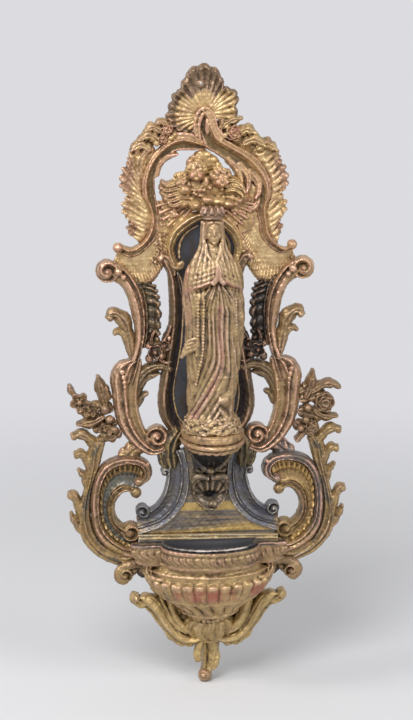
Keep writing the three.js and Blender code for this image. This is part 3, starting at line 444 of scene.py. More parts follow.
cast("hood", hood, hood_metal, "gilt", "niche_hood", voxel=0.4)

# Side scrolls: the tall S-shaped mouldings that carry the frame, cast bronze with the gilding rubbed to copper.
# Each ends in a spiral volute above and below, with a row of pearls at its waist.


def dial(side, centre, radius, rise, back=0.0, rings=30, spokes=80, reach=None, stain_and_painted_light=None):
    """A round relief on the wall; rise gives its depth at share r and angle a, reach its outline."""
    share = np.linspace(0.01, 1, rings)
    angles = np.linspace(0, 2 * math.pi, spokes, endpoint=False)
    r, a = np.meshgrid(share, angles, indexing="ij")
    spread = radius * r * (reach(a) if reach else 1)
    x = side * (centre[0] + spread * np.cos(a))
    z = centre[1] + spread * np.sin(a)
    front = np.stack([x, -np.maximum(rise(r, a), back + 0.2), z], axis=-1)
    rear = front[-1:].copy()
    rear[..., 1] = -back
    marks = np.broadcast_to(stain_and_painted_light(r, a) if stain_and_painted_light else 0.0, r.shape)
    return skin(np.concatenate([front, rear]), np.concatenate([marks, marks[-1:]]))


def volute(side, centre, radius, relief, back=0.0, turns=1.3, hand=1, stain_and_painted_light=0.0):
    """A spiral roll that winds into a round eye."""
    roll = [(0, 0.56), (0.1, 0.66), (0.55, 1), (0.9, 0.84), (1, 0.56)]
    eye = 0.26

    def rise(r, a):
        winding = (turns * r - hand * a / (2 * math.pi)) % 1
        coil = moulding(winding, roll) * (1 - 0.25 * np.clip((r - 0.85) / 0.15, 0, 1) ** 2)
        bead = 0.6 + 0.5 * np.sqrt(np.clip(1 - (r / eye) ** 2, 0, 1))
        return back + (relief - back) * np.where(r < eye, bead, coil)

    return dial(side, centre, radius, rise, back, stain_and_painted_light=lambda r, a: stain_and_painted_light)


scroll_metal = worn_metal(
    "scroll_bronze", ink(178, 145, 112), ink(122, 96, 73), ink(216, 172, 144), soot_and_shade, stain_and_painted_light=ink(172, 142, 94), wear_and_highlight=0.75, grime_and_shade=0.6, sheen=0.3,
)
arm_inner = [(50, 57.3), (43.6, 52), (38.8, 45.6), (35.4, 38.4), (33.8, 29.5), (33.6, 18.8), (35.2, 8), (38.5, -5), (41, -12)]
arm_outer = [(51.5, 45), (46.4, 41.4), (43.1, 34.2), (41.5, 27), (40, 20), (39.5, 13), (41, 5), (45, -5), (46, -12)]
side_outer = [(43, 1), (49.5, -1), (53.7, -8.5), (53, -17), (51.3, -31.2), (47.6, -40.6), (40.4, -49.4), (31.4, -54.2), (22.6, -51.6)]
side_inner = [(36, 0), (36, -4), (37, -10), (38.2, -18), (38, -27), (36.5, -34), (33.5, -41.4), (29, -46.6), (26, -46.6)]
arm_face = [
    (0, 0.4), (0.08, 0.7), (0.28, 0.9), (0.48, 0.94), (0.62, 0.8), (0.7, 0.7), (0.76, 0.8), (0.84, 1), (0.92, 0.84), (1, 0.45),
]
side_face = [
    (0, 0.4), (0.08, 0.7), (0.2, 0.88), (0.33, 0.82), (0.4, 0.72), (0.48, 1), (0.56, 0.9), (0.62, 0.72), (0.78, 0.68), (0.92, 0.78), (1, 0.45),
]
scroll_relief = 10.0
pearls = [(47.2, -5.4, 1.5), (46.4, -8.6, 1.4), (46, -11.4, 1.2), (45.8, -14, 1.0)]
for name, side in sides:
    shapes = [
        strip(
            side, arm_outer, arm_inner, lambda u, v: (scroll_relief - 1) * moulding(v, arm_face),
            stain_and_painted_light=lambda u, v: 0.6 * (v < 0.5) * (1 - u),
        ),
        strip(
            side, side_outer, side_inner, lambda u, v: scroll_relief * moulding(v, side_face), along=180,
            stain_and_painted_light=lambda u, v: 0.55 * (v > 0.6),
        ),
        volute(side, (54.4, 50.7), 6.4, scroll_relief, turns=1.1, stain_and_painted_light=0.8 * (side > 0)),
        volute(side, (28, -43.2), 6.4, scroll_relief, turns=1.5, hand=-1),
        ball(side, (48.3, 9, 50.6), (2.2, 2.4, 2.2)),
        ball(side, (45.6, 8.6, 47.6), (1.6, 2.2, 1.6)),
    ]
    shapes += [ball(side, (x, 9.6, z), r) for x, z, r in pearls]
    cast(f"side_scroll_{name}_casting", shapes, scroll_metal, "copper", f"side_scroll_{name}")

# Crest scrolls: the two arch mouldings under the shell, gilt, with a ridge rubbed to copper red.
# The right one rises to a rounded head over the left one, and leaf tongues break from their inner faces.


crest_metal = worn_metal(
    "crest_gilt", ink(194, 160, 118), ink(158, 122, 90), ink(214, 166, 142), ink(44, 34, 26), stain_and_painted_light=ink(128, 104, 66), wear_and_highlight=0.75, grime_and_shade=0.8,
)
crest_outer = {
    "right": [
        (0, 139.5), (5, 134.5), (6.6, 128), (10.3, 123.5), (16.6, 119.5), (26, 114.2), (32.3, 107.8), (36.1, 100),
        (36.6, 92), (34, 83.7), (34.5, 75.6), (36.2, 69.2), (40.7, 63.8), (45.1, 62), (48.7, 64.8),
    ],
    "left": [
        (-1, 119.5), (8.6, 123.9), (14.9, 124), (21.3, 120.9), (27.6, 115.4), (32.1, 108), (34.5, 100), (34.3, 92.3),
        (31.5, 87.5), (29.7, 81.7), (30.2, 76), (32.3, 70), (36.5, 65.6), (41.6, 63.4), (47.6, 65.8),
    ],
}
crest_inner = {
    "right": [
        (-4.5, 136), (-4.1, 131), (-2.3, 125), (0.1, 118), (5.3, 114.8), (13, 109.5), (19, 105), (26, 99), (29.5, 91),
        (28.5, 84), (30, 75.7), (30.9, 68.5), (36.2, 62.2), (42.5, 58.9), (48.5, 61),
    ],
    "left": [
        (-1, 116.6), (8.7, 116.2), (14, 116.2), (19.4, 114), (23.9, 109), (26.9, 102.8), (27.4, 95), (26.6, 89),
        (26, 83), (25.8, 77), (26.5, 70), (31, 64), (37.2, 59.2), (43.4, 58.4), (48.5, 62),
    ],
}
crest_face = [
    (0, 0.45), (0.06, 0.8), (0.11, 0.7), (0.2, 0.9), (0.29, 1), (0.36, 0.86), (0.42, 0.74), (0.56, 0.62), (0.76, 0.58), (0.92, 0.68),
    (1, 0.42),
]
crest_relief = 9.0
tongues = {
    "right": [
        ([(12, 112), (17, 107), (19.5, 102), (20.6, 98.6)], [2.2, 2.6, 2, 0.8]),
        ([(18, 109), (23.5, 103), (24, 97), (22.6, 92.6)], [2.4, 2.8, 2, 0.8]),
        ([(25, 106), (29.5, 100), (30, 94), (27.6, 89.4)], [2.6, 2.8, 2.2, 1]),
    ],
    "left": [([(26.5, 102), (25, 108.5), (20.5, 113), (14.6, 114.4)], [1.6, 2.2, 2, 0.6])],
}
for name, side in sides:
    shapes = [
        strip(
            side, crest_outer[name], crest_inner[name], lambda u, v: crest_relief * moulding(v, crest_face), along=220, across=34,
            stain_and_painted_light=lambda u, v: 0.8 * (v > 0.44) * (v < 0.9) * (u < 0.62),
        ),
        ball(side, (48.2, 5.4, 63.6), (2.9, 4, 2.9)),
    ]
    shapes += [leaf(side, spine, halves, 7.5, lobes=0, tip=1.15) for spine, halves in tongues[name]]
    if name == "right":
        shapes.append(leaf(1, [(29.6, 90), (28.6, 86.6), (26.4, 84.4), (23.6, 84.6)], [2, 2.8, 2.4, 1.2], 7.6, lobes=0))
        hoops = [
            ([(-4.6, 123.6), (-5.4, 131), (-3.2, 137.4), (0.6, 139.4), (4.6, 136.4), (6.8, 129), (11, 123.2)], 1.0),
            ([(-2.4, 121.6), (-3, 130), (-1.2, 135.4), (1.2, 136.8), (3.6, 134.4), (5.2, 128.4), (9.4, 121.6)], 1.1),
        ]
        for line, thick in hoops:
            shapes.append(tube(1, [(x, 7.2, z) for x, z in line], [0.7 * thick, thick, thick, 0.8 * thick], count=60))
        shapes.append(ball(1, (1.5, 7, 129.4), (1.5, 2, 4.8)))
    else:
        for lift in (1.6, 3.4):
            line = [(1, 6, 117.4 + lift), (8, 6.4, 121.4 + lift), (15, 6.4, 121.8 + lift), (21, 6, 118.6 + lift)]
            shapes.append(tube(-1, line, [0.8, 1.1, 1, 0.6], count=40))
    cast(f"crest_scroll_{name}_casting", shapes, crest_metal, "copper", f"crest_scroll_{name}", voxel=0.4)

# Crest shell: a fluted gilt scallop in three lobes at the top, pierced for the wall nail.
# The side lobes lie over the edges of the middle one, and their rims are rolled and scalloped.


def flutes(u, count):
    """Rounded ribs with narrow grooves between them."""
    return np.abs(np.sin(math.pi * count * u))


def fan(side, rim, hub, count, relief, scallops, stained, root=0.06, scallop=1.4, depth=0.32, along=200, across=34):
    """A fluted shell lobe from a scalloped rim to its hub, stained towards the rim."""
    edge = spline(rim, along)
    u, v = np.meshgrid(np.linspace(0, 1, along), np.linspace(0, 1, across), indexing="ij")
    ribs = flutes(u, count)
    hub = np.array(hub)
    reach = edge - hub
    length = np.linalg.norm(reach, axis=1)[:, None]
    outward = length + scallop * (flutes(u[:, :1], scallops) - 1)
    plan = hub + (reach / length)[:, None] * (outward * (1 - v * (1 - root)))[..., None]
    dish = moulding(v, [(0, 0.66), (0.08, 1), (0.26, 0.74), (0.62, 0.8), (1, 0.66)])
    fade = moulding(v, [(0, 0.9), (0.2, 1), (0.62, 0.4), (1, 0.15)])
    rise = relief * dish * (1 - depth * (1 - ribs) * fade)
    return relief_skin(side, plan, rise, 0.0, np.clip((stained - v) / 0.2, 0, 1))


shell_metal = worn_metal(
    "shell_gilt", ink(206, 177, 128), ink(176, 143, 99), ink(212, 174, 144), soot_and_shade, stain_and_painted_light=ink(113, 91, 73), wear_and_highlight=0.5, grime_and_shade=0.7,
)
shell_hub = (0.4, 135)
shell_lobes = [
    ([(11, 149.6), (10.8, 156), (6.4, 161.4), (0.8, 163.6), (-5.6, 162), (-11.6, 155.4), (-12.8, 149)], 8, 6.0, 5, 0.62),
    ([(12.5, 131.6), (18, 133.4), (18.7, 140), (19.4, 146.4), (15.6, 150.2), (10.4, 151)], 7, 6.8, 5, 0.2),
    ([(-11.4, 150.2), (-16.5, 148), (-18.8, 142.4), (-21, 135.4), (-19.6, 129.6), (-14, 126.2), (-8, 123.4), (-3, 120.6)], 11, 6.6, 8, 0.32),
]
shell_shapes = [fan(1, rim, shell_hub, count, *rest) for rim, count, *rest in shell_lobes]
# A boss behind the nail hole takes the dark stain colour, so that the hole's walls show painted shade.
shell_shapes.append(ball(1, (-1.5, 2.4, 152.4), (3, 3.6, 3), stain_and_painted_light=1.0))
crest_shell = cast("crest_shell_casting", shell_shapes, shell_metal, "gilt", "crest_shell", voxel=0.36, eased=1)
nail_hole = 0.8
bpy.ops.mesh.primitive_cylinder_add(vertices=32, radius=nail_hole * 0.001, depth=0.05, rotation=(math.pi / 2, 0, 0))
punch = bpy.context.object
punch.location = (-0.0015, 0, 0.1527)
pierce = crest_shell.modifiers.new("pierce", "BOOLEAN")
pierce.operation = "DIFFERENCE"
pierce.object = punch
bpy.context.view_layer.objects.active = crest_shell
bpy.ops.object.modifier_apply(modifier=pierce.name)
bpy.data.objects.remove(punch)

# Fan webs: fluted gilt fields that fill the corners between the crest tails, the hood and the side scrolls.
# Their fine ribs run out from the crest tail, sharpest along the free edge.

web_metal = worn_metal(
    "web_gilt", ink(213, 185, 138), ink(184, 152, 107), ink(208, 170, 142), ink(74, 58, 43), stain_and_painted_light=ink(164, 129, 105),
    wear_and_highlight=0.4, grime_and_shade=0.6,
)
web_outer = [(19, 87), (16.5, 79), (17.5, 70), (19.5, 61), (24.5, 50), (31, 43), (42, 45.5), (50, 56)]
web_relief = 5.0
web_ribs = 38
crumb_lines = {
    "left": [(21.5, 86), (23, 78), (24.4, 70), (25.4, 62), (28, 56)],
    "right": [(18.5, 70), (19.6, 65), (21, 60), (22.6, 56)],
}


def web_rise(u, v):
    dish = moulding(v, [(0, 0.72), (0.1, 1), (0.45, 0.76), (1, 0.9)])
    return web_relief * dish * (1 - 0.34 * (1 - flutes(u, web_ribs)) * moulding(v, [(0, 1), (0.3, 0.9), (0.72, 0.12), (1, 0)]))


for name, side in sides:
    inner = crest_inner[name][-8:]
    shapes = [strip(side, web_outer, inner, web_rise, along=420, across=34)]
    crumbs = np.random.default_rng(3)
    for x, z in spline(crumb_lines[name], 44):
        nudge = crumbs.uniform(-2.2, 2.2, 2)
        shapes.append(ball(side, (x + nudge[0], 4.6, z + nudge[1]), crumbs.uniform(0.6, 1.2), turns=8, rows=6, stain_and_painted_light=crumbs.uniform(0, 1)))
    cast(f"fan_web_{name}_casting", shapes, web_metal, "gilt", f"fan_web_{name}", voxel=0.32, eased=1)

# Arch fringes: the ruffled gilt edge outside each crest scroll.
# It swells in three broad lobes, each pleated into small shell flutes.

fringe_outer = [(31, 122), (37.5, 119), (41.5, 114), (42, 110.5), (45, 106), (46.4, 99), (44.5, 94.5), (42, 92.4), (45.2, 88), (45, 82), (41.6, 78), (43, 74), (41, 70)]
fringe_relief = 5.6
fringe_ribs = 17


def fringe_rise(u, v):
    dish = moulding(v, [(0, 0.55), (0.12, 1), (0.4, 0.68), (0.8, 0.86), (1, 0.7)])
    return fringe_relief * dish * (1 - 0.5 * (1 - flutes(u + 0.02 * v, fringe_ribs)) * moulding(v, [(0, 1), (0.5, 0.8), (1, 0.1)]))


def pleated(points, count, depth, along):
    """A line whose edge steps in between its pleats."""
    line = spline(points, along)
    heading = np.gradient(line, axis=0)
    heading /= np.linalg.norm(heading, axis=1)[:, None]
    step = depth * (flutes(np.linspace(0, 1, along), count) - 0.6)
    return line + step[:, None] * np.stack([-heading[:, 1], heading[:, 0]], axis=-1)


for name, side in sides:
    edge = pleated(fringe_outer, fringe_ribs, 1.9, 300)
    inner = crest_outer[name][5:13]
    shapes = [strip(side, edge, inner, fringe_rise, along=300, across=24, stain_and_painted_light=lambda u, v: (v < 0.45) * np.sin(5 * u) ** 2)]
    cast(f"fringe_{name}_casting", shapes, web_metal, "gilt", f"arch_fringe_{name}", voxel=0.36, eased=1)

# Crest roses: a cast rose and its leaves, soldered to the shoulder of each crest scroll.
# The right cluster has a full rose and three veined leaves, the left one two small roses and leaves.


def rose(side, centre, radius, relief, back=0.0, petals=5, turn=0.0, rubbed=0.6):
    """A full bloom: three rings of cupped petals round a tight heart."""
    rings = [(1.0, petals, 0.45, 0.72), (0.68, petals, 0.7, 0.9), (0.4, 3, 0.85, 1.0)]

    def rise(r, a):
        height = np.zeros_like(r) + 0.3
        for k, (reach, count, low, high) in enumerate(rings):
            edge = reach * (0.84 + 0.16 * np.abs(np.cos(0.5 * count * (a + turn + 0.6 * k))))
            share = r / edge
            cup = low + (high - low) * np.clip(share, 0, 1) ** 2
            height = np.where(share <= 1, np.maximum(height, cup), height)
        return back + (relief - back) * height

    return dial(side, centre, radius, rise, back, rings=40, spokes=100, stain_and_painted_light=lambda r, a: rubbed)


rose_metal = worn_metal(
    "rose_gilt", ink(192, 163, 116), ink(152, 122, 84), ink(207, 166, 142), soot_and_shade, stain_and_painted_light=ink(170, 122, 98), wear_and_highlight=0.55, grime_and_shade=0.7,
)
rose_sprays = {
    "right": [
        rose(1, (16.2, 125.4), 4.6, 9.8, 2),
        leaf(1, [(8.6, 124), (8.8, 129), (10.4, 133.4)], [1.6, 2.2, 1], 7.4, lobes=2),
        leaf(1, [(10, 128), (14.6, 131.8), (21, 133.6)], [2.6, 3.2, 0.8], 7.6, lobes=2.5),
        leaf(1, [(18.6, 124.5), (23, 127), (28.5, 125)], [2.8, 4, 0.8], 8.4, lobes=2.5),
        leaf(1, [(21, 119.4), (27.6, 121.6), (33.6, 118)], [2.8, 4.2, 0.8], 8.8, lobes=3.5),
        leaf(1, [(28, 116.4), (34.4, 119), (40, 115.4)], [2.8, 4, 0.8], 8, lobes=3.5),
        ball(1, (11.4, 6.5, 124.4), 1.6), ball(1, (11, 1.6, 128), (5.6, 2.4, 5.4)), ball(1, (18, 1.6, 123), (7, 2.4, 5)),
        ball(1, (27, 1.6, 118.4), (8, 2.4, 4.4)), ball(1, (34.6, 1.6, 115), (5, 2.4, 4.6)),
    ],
    "left": [
        rose(-1, (20.4, 127.4), 3.6, 9.4, 2),
        rose(-1, (22.4, 122.6), 3, 9, 2),
        leaf(-1, [(19, 129), (23, 132), (26.4, 131)], [2, 2.8, 0.6], 7.4, lobes=2),
        leaf(-1, [(23, 126), (28, 129), (32.5, 127)], [2.4, 3.4, 0.8], 7.6, lobes=2.5),
        leaf(-1, [(25, 121.6), (30.5, 124.6), (36.4, 122)], [2.6, 3.8, 0.8], 7.8, lobes=3),
        leaf(-1, [(29, 116.6), (35, 119.6), (40.4, 116.4)], [2.6, 3.8, 0.8], 7.5, lobes=3.5),
        leaf(-1, [(34.6, 101), (35.8, 106), (35, 111.4), (31, 117)], [2.4, 3.6, 4, 2.4], 6, lobes=2.5, notch=0.2),
        ball(-1, (16.4, 7.6, 125), 1.6), ball(-1, (26.4, 8, 120.6), 1.7), ball(-1, (18.4, 8, 123.4), 1.3),
        ball(-1, (17.4, 1.6, 126), (6, 2.4, 5)), ball(-1, (25.6, 1.6, 124.4), (7, 2.4, 5.4)), ball(-1, (34, 1.6, 118.6), (5.6, 2.4, 5)),
        ball(-1, (30, 2, 113.4), (3.8, 2.6, 6.6)),
    ],
}
for name, side in sides:
    cast(f"crest_roses_{name}_casting", rose_sprays[name], rose_metal, "gilt", f"crest_roses_{name}", voxel=0.32, eased=1)

# Glory: a gilt bank of cloud under the arch with cherub heads and small wings, cast in one.
# The heads are plain round infants with curled hair and calm, simple faces.

glory_metal = worn_metal(
    "glory_gilt", ink(200, 169, 117), ink(160, 126, 86), ink(205, 160, 136), ink(54, 40, 28), stain_and_painted_light=ink(182, 134, 108), wear_and_highlight=0.55, grime_and_shade=0.8,
)
curl_seed = np.random.default_rng(11)


def cherub(x, z, depth, size, turn):
    """A round infant head with its hair in curls; turn moves the face sideways."""
    shapes = [ball(1, (x, depth, z), (0.92 * size, 0.9 * size, size), stain_and_painted_light=0.6)]
    face_x = x + turn * size * 0.35
    front = depth + 0.82 * size
    shapes.append(ball(1, (face_x, front - 0.25 * size, z - 0.2 * size), (0.62 * size, 0.45 * size, 0.66 * size), stain_and_painted_light=0.6))
    shapes.append(ball(1, (face_x + 0.05 * turn * size, front + 0.2 * size, z - 0.2 * size), (0.13 * size, 0.2 * size, 0.2 * size)))
    for hand in (-1, 1):
        shapes.append(ball(1, (face_x + hand * 0.36 * size, front, z - 0.36 * size), (0.3 * size, 0.22 * size, 0.26 * size), stain_and_painted_light=0.6))
    shapes.append(ball(1, (face_x, front + 0.06 * size, z - 0.66 * size), (0.22 * size, 0.18 * size, 0.16 * size)))
    for _ in range(34):
        angle = curl_seed.uniform(-0.15, math.pi + 0.15)
        lean = curl_seed.uniform(-0.2, 1.0)
        spread = 0.98 * size
        place = (
            x + spread * math.cos(angle) * math.cos(lean * 1.2),
            depth + spread * math.sin(lean * 1.2) * 0.82,
            z + spread * math.sin(angle) * math.cos(lean * 1.0) * 1.02 + 0.12 * size,
        )
        shapes.append(ball(1, place, 0.24 * size * curl_seed.uniform(0.8, 1.2), turns=10, rows=7))
    return shapes


glory = []
for x, z, wide, tall, deep in [
    (-1.5, 113, 5, 3.8, 9.4), (2.2, 110.6, 3.8, 3.6, 9), (-5, 111, 3.4, 3.2, 9), (0, 96, 15.5, 9, 9), (0, 87.4, 14, 4.4, 9.4),
    (-14, 92, 6.4, 5, 10), (15.8, 95.4, 4.4, 5, 10), (20.4, 90.4, 4.6, 3.6, 9), (-5.6, 86.8, 3.6, 3.4, 15), (1.6, 89.6, 4.4, 3, 14.5),
    (7, 88.6, 4.6, 3, 14), (12.6, 87, 4.4, 2.8, 12), (18.4, 89, 2.6, 2.6, 11), (-11.4, 95.4, 4.4, 3.4, 13), (-12, 87.4, 4, 3, 10),
    (0.4, 99, 3, 4.6, 11.4),
]:
    glory.append(ball(1, (x, 0.5 * deep, z), (wide, 0.5 * deep, tall), turns=28, rows=16))
glory.append(ball(1, (-1, 4.6, 109.4), (9.4, 4.6, 5.6), turns=28, rows=16))
for _ in range(90):
    x = curl_seed.uniform(-19, 20)
    z = curl_seed.uniform(84, 99) - 0.012 * x * x
    size = curl_seed.uniform(0.8, 1.7)
    glory.append(ball(1, (x, 9.2 - 0.008 * x * x + curl_seed.uniform(-0.6, 0.8), z), (size, size, 0.8 * size), turns=10, rows=7))
for x, z, size in [(-8, 110.4, 1.8), (-6, 112.6, 1.7), (-2.4, 114.6, 1.7), (1.6, 114, 1.8), (5, 111.4, 1.9), (7.4, 108.4, 1.7)]:
    glory.append(ball(1, (x, 7.6, z), size, turns=12, rows=8))
cloud_foot = [(-20, 88), (-13, 82.4), (0, 84), (13, 82.4), (20, 86)]
cloud_head = [(-18, 94), (-10, 98), (0, 100), (10, 98), (18, 94)]
glory.append(strip(1, cloud_foot, cloud_head, lambda u, v: 5.4 + 0.5 * np.sin(9 * u + 4 * v), along=50, across=16))
glory += cherub(-4.8, 105, 9, 5.4, -0.3)
glory += cherub(8.2, 101.4, 9.6, 5.4, 0.35)
glory += cherub(-13.2, 100, 7.6, 4.0, -0.5)
for x, z, reach in [(-14, 97.6, 1.0), (-14, 94.8, 1.1), (-13.6, 92, 1.1), (-13, 89.2, 1.0), (-12, 86.6, 0.9)]:
    feather = [(x + 6, z + 1.2), (x, z + 1.6), (x - 6.4 * reach, z + 0.2), (x - 9.6 * reach, z + 1.8)]
    glory.append(leaf(1, feather, [1.4, 2.0, 1.9, 0.9], 11.4, lobes=0, slant=0.8))
for x, z, reach in [(15.4, 92, 0.9), (14, 89.6, 0.9), (12.6, 87.2, 0.8)]:
    feather = [(x - 5, z + 1.2), (x, z + 1), (x + 5 * reach, z - 0.2), (x + 7.4 * reach, z + 1.2)]
    glory.append(leaf(1, feather, [1.2, 1.7, 1.5, 0.6], 10.6, lobes=0, slant=0.8))
for x, z, reach in [(15, 98.6, 0.8), (15.4, 96, 0.9), (15, 93.6, 0.8)]:
    feather = [(x - 4.4, z + 0.4), (x, z + 1.4), (x + 5 * reach, z - 0.4), (x + 7 * reach, z - 2.8)]
    glory.append(leaf(1, feather, [1.6, 2.0, 1.7, 0.7], 13, lobes=0, slant=0.8))
cast("glory_casting", glory, glory_metal, "gilt", "cherub_glory", voxel=0.32, eased=1)

# Rays: bundles of gilt rods that fan out from behind the crown to the webs.

ray_count = 11
ray_centre = (1.0, 93.0)
for name, side in sides:
    shapes = []
    for k in range(ray_count):
        angle = math.radians(-56 + 46 * k / (ray_count - 1))
        reaches = (11.0, 18.0, 24.5 + 2.4 * (k % 2))
        points = [(ray_centre[0] + r * math.cos(angle), 5.4 + 0.7 * (k % 2), ray_centre[1] + r * math.sin(angle)) for r in reaches]
        shapes.append(tube(side, points, [0.6, 0.9, 0.75], count=14))
    ground_outer = [(15, 93), (19.5, 90.5), (24, 86.5), (27, 78), (25.5, 72)]
    ground_inner = [(5, 84), (10, 82.5), (14, 80), (18, 75), (18.6, 70)]
    shapes.append(strip(side, ground_outer, ground_inner, lambda u, v: 5.0 + 0 * u, back=3.6, along=40, across=10))
    cast(f"rays_{name}_casting", shapes, glory_metal, "gilt", f"ray_bundle_{name}", voxel=0.3, eased=1)

# Side leaves and ruffles: a gilt acanthus leaf curling out of each side scroll, and inside the scroll
# a pleated ruffle under heavy dark patina. They are cast with the scroll on the real piece.

leaf_metal = worn_metal("leaf_gilt", ink(164, 137, 96), ink(124, 101, 70), ink(198, 160, 132), soot_and_shade, wear_and_highlight=0.5, grime_and_shade=0.6)
ruffle_metal = worn_metal("ruffle_patina", ink(122, 104, 76), ink(84, 74, 60), ink(182, 149, 116), ink(34, 30, 28), wear_and_highlight=0.5, grime_and_shade=0.7)
ruffle_black = worn_metal("ruffle_black", ink(66, 56, 50), ink(46, 42, 42), ink(166, 135, 112), ink(20, 18, 19), wear_and_highlight=0.5, grime_and_shade=0.8)
ruffle_outer = [(31.5, 45), (27.4, 41), (26, 36), (25, 29), (25.3, 18), (26, 12), (28, 6)]
ruffle_inner = [(39.8, 47.5), (37.2, 43.5), (35.4, 38.4), (33.8, 29.5), (33.6, 18.8), (34.2, 13), (35.4, 7)]
ruffle_pleats = 10
ruffle_face = [(0, 0.6), (0.16, 1), (0.5, 0.62), (0.8, 0.56), (0.88, 0.8), (1, 0.7)]
for name, side in sides:
    spine = [(41, 0), (42.6, 11), (44.6, 20), (48.4, 25.6), (52.4, 26.6), (54.2, 24.4)]
    shapes = [
        leaf(side, spine, [2.2, 4, 4.6, 3.8, 2.6, 1.6], 7.4, lobes=3.4, notch=0.3, slant=0.7),
        leaf(side, [(43.4, 10), (46.4, 15.4), (49.6, 16.6), (51, 15)], [1.4, 2.2, 1.6, 0.8], 6.4, lobes=0),
        ball(side, (53, 5.2, 24.4), (1.9, 2.8, 1.9)),
    ]
    cast(f"side_leaf_{name}_casting", shapes, leaf_metal, "gilt", f"side_leaf_{name}", voxel=0.36)
    edge = pleated(ruffle_outer, ruffle_pleats, -1.6, 200)
    ruffle = strip(
        side, edge, ruffle_inner,
        lambda u, v: 6.4 * moulding(v, ruffle_face) * (
            1 - 0.4 * (1 - flutes(u + 0.03 * v, ruffle_pleats)) * (v < 0.84)
        ),
        along=200,
    )
    ruffle_finish = ruffle_metal if name == "left" else ruffle_black
    cast(f"ruffle_{name}_casting", [ruffle], ruffle_finish, "patina", f"ruffle_{name}", voxel=0.36, eased=1)

# Inner leaves and blooms: where each scroll meets the niche rail, a two-pronged gilt leaf bridges the gap
# with a small cluster of flowers above it.

def blossom(side, centre, radius, relief, back=0.0, petals=5, turn=0.0):
    """A flat flower of rounded petals with a ball at its middle."""
    def outline(a):
        return 0.66 + 0.34 * np.abs(np.cos(0.5 * petals * (a + turn)))

    def rise(r, a):
        cup = 0.55 + 0.35 * r**2 - 0.12 * np.abs(np.sin(0.5 * petals * (a + turn))) ** 6
        crease = 0.1 * np.exp(-((np.sin(0.5 * petals * (a + turn)) / 0.12) ** 2)) * r
        heart = np.where(r < 0.34, 0.55 + 0.5 * np.sqrt(np.clip(1 - (r / 0.34) ** 2, 0, 1)), 0)
        return back + (relief - back) * np.maximum(cup - crease * 0.3, heart)

    return dial(side, centre, radius, rise, back, rings=30, spokes=110, reach=outline)


inner_metal = worn_metal("inner_leaf_bronze", ink(136, 113, 80), ink(96, 80, 60), ink(188, 156, 126), soot_and_shade, wear_and_highlight=0.5, grime_and_shade=0.7)
bloom_finish = {
    "left": worn_metal("bloom_bronze", ink(121, 95, 70), ink(84, 67, 53), ink(201, 154, 129), ink(30, 25, 23), wear_and_highlight=0.7, grime_and_shade=0.75),
    "right": worn_metal("bloom_black", ink(72, 59, 50), ink(50, 43, 40), ink(176, 138, 114), ink(20, 18, 18), wear_and_highlight=0.6, grime_and_shade=0.9),
}
for name, side in sides:
    shapes = [
        leaf(side, [(40, -17), (37, -9.5), (31.5, -4.6), (25, -3.4), (20.4, -5.4)], [3, 3.6, 3, 2.6, 1.8], 7.6, lobes=0),
        leaf(side, [(39.6, -21), (37, -14), (32, -9.6), (26, -7.6)], [2.6, 2.8, 2, 0.8], 6.4, lobes=2),
        leaf(side, [(38.8, -27), (36.2, -21), (32.6, -18.6)], [2, 2.2, 0.8], 6, lobes=2),
        ball(side, (20.6, 5.6, -5), (2, 3, 2)),
    ]
    cast(f"inner_leaf_{name}_casting", shapes, inner_metal, "gilt", f"inner_leaf_{name}", voxel=0.36)
    shapes = [
        blossom(side, (28.6, 5.2), 4.4, 10, 3, turn=0.4),
        blossom(side, (23.2, 8.4), 3.4, 9, 3, turn=1.1),
        ball(side, (26, 4, 6), (6, 4, 5)),
        ball(side, (31.8, 6.6, 1.6), (2.4, 2.6, 2.4)), ball(side, (24.6, 6.6, 2.8), (2.2, 2.6, 2)),
        ball(side, (32.2, 6.2, 8.4), (1.8, 2.4, 1.8)), ball(side, (20.6, 7, 12.6), (1.5, 2, 1.7)),
        leaf(side, [(24, 10), (21.4, 15), (19.6, 20)], [1.4, 1.8, 0.6], 9.4, lobes=2),
        leaf(side, [(30, 8), (30.4, 13), (28.6, 17)], [1.4, 2, 0.6], 8, lobes=2),
        leaf(side, [(27, 2), (23, -1), (19, -0.4)], [1.4, 2, 0.6], 8.4, lobes=2),
    ]
    cast(f"inner_bloom_{name}_casting", shapes, bloom_finish[name], "copper", f"inner_bloom_{name}", voxel=0.32, eased=1)

# C-scrolls: broad hooked mouldings beside the console, cast bronze with copper ridges.
# Inside each lies a pleated shell lining and a smaller C with a ball above and a volute below.

c_outer = [
    (37.4, -70.6), (32.6, -68), (30.9, -63.4), (33, -58), (38.8, -54.6), (48, -54), (57, -57), (62, -63), (65, -72),
    (66, -83), (64.5, -96), (59, -105.5), (50, -111.5), (40, -115),
]
c_inner = [
    (39, -67.6), (37, -66.2), (36.2, -63.4), (37.6, -60.6), (41.4, -58.6), (48, -58.8), (54, -61.4), (57.6, -66), (60, -73),
    (60.6, -83), (59, -93.4), (53.5, -101), (46.5, -105.6), (39, -107),
]
c_face = [(0, 0.4), (0.1, 0.7), (0.32, 0.9), (0.5, 0.86), (0.6, 0.74), (0.74, 1), (0.88, 0.86), (1, 0.45)]
c_rail_outer = [(41, -72), (47, -70), (54, -74.5), (57, -83.4), (55.5, -92.5), (49.5, -99.4), (43, -102)]
c_rail_inner = [(41, -77.4), (45.5, -75), (49.8, -77.8), (52.3, -83.4), (51, -90), (47.4, -93.6), (43.6, -94)]
c_rail_face = [(0, 0.4), (0.2, 0.75), (0.34, 0.62), (0.62, 1), (0.85, 0.62), (1, 0.35)]
lining_outer = c_inner[1:]
lining_inner = [
    (39.4, -68.4), (40, -70.4), (41.4, -72), (44, -72), (47, -70.5), (51, -72), (54.4, -75.6), (56.4, -80), (57, -84), (55.8, -91),
    (51, -98), (45, -101.4), (38, -105),
]
lining_pleats = 24
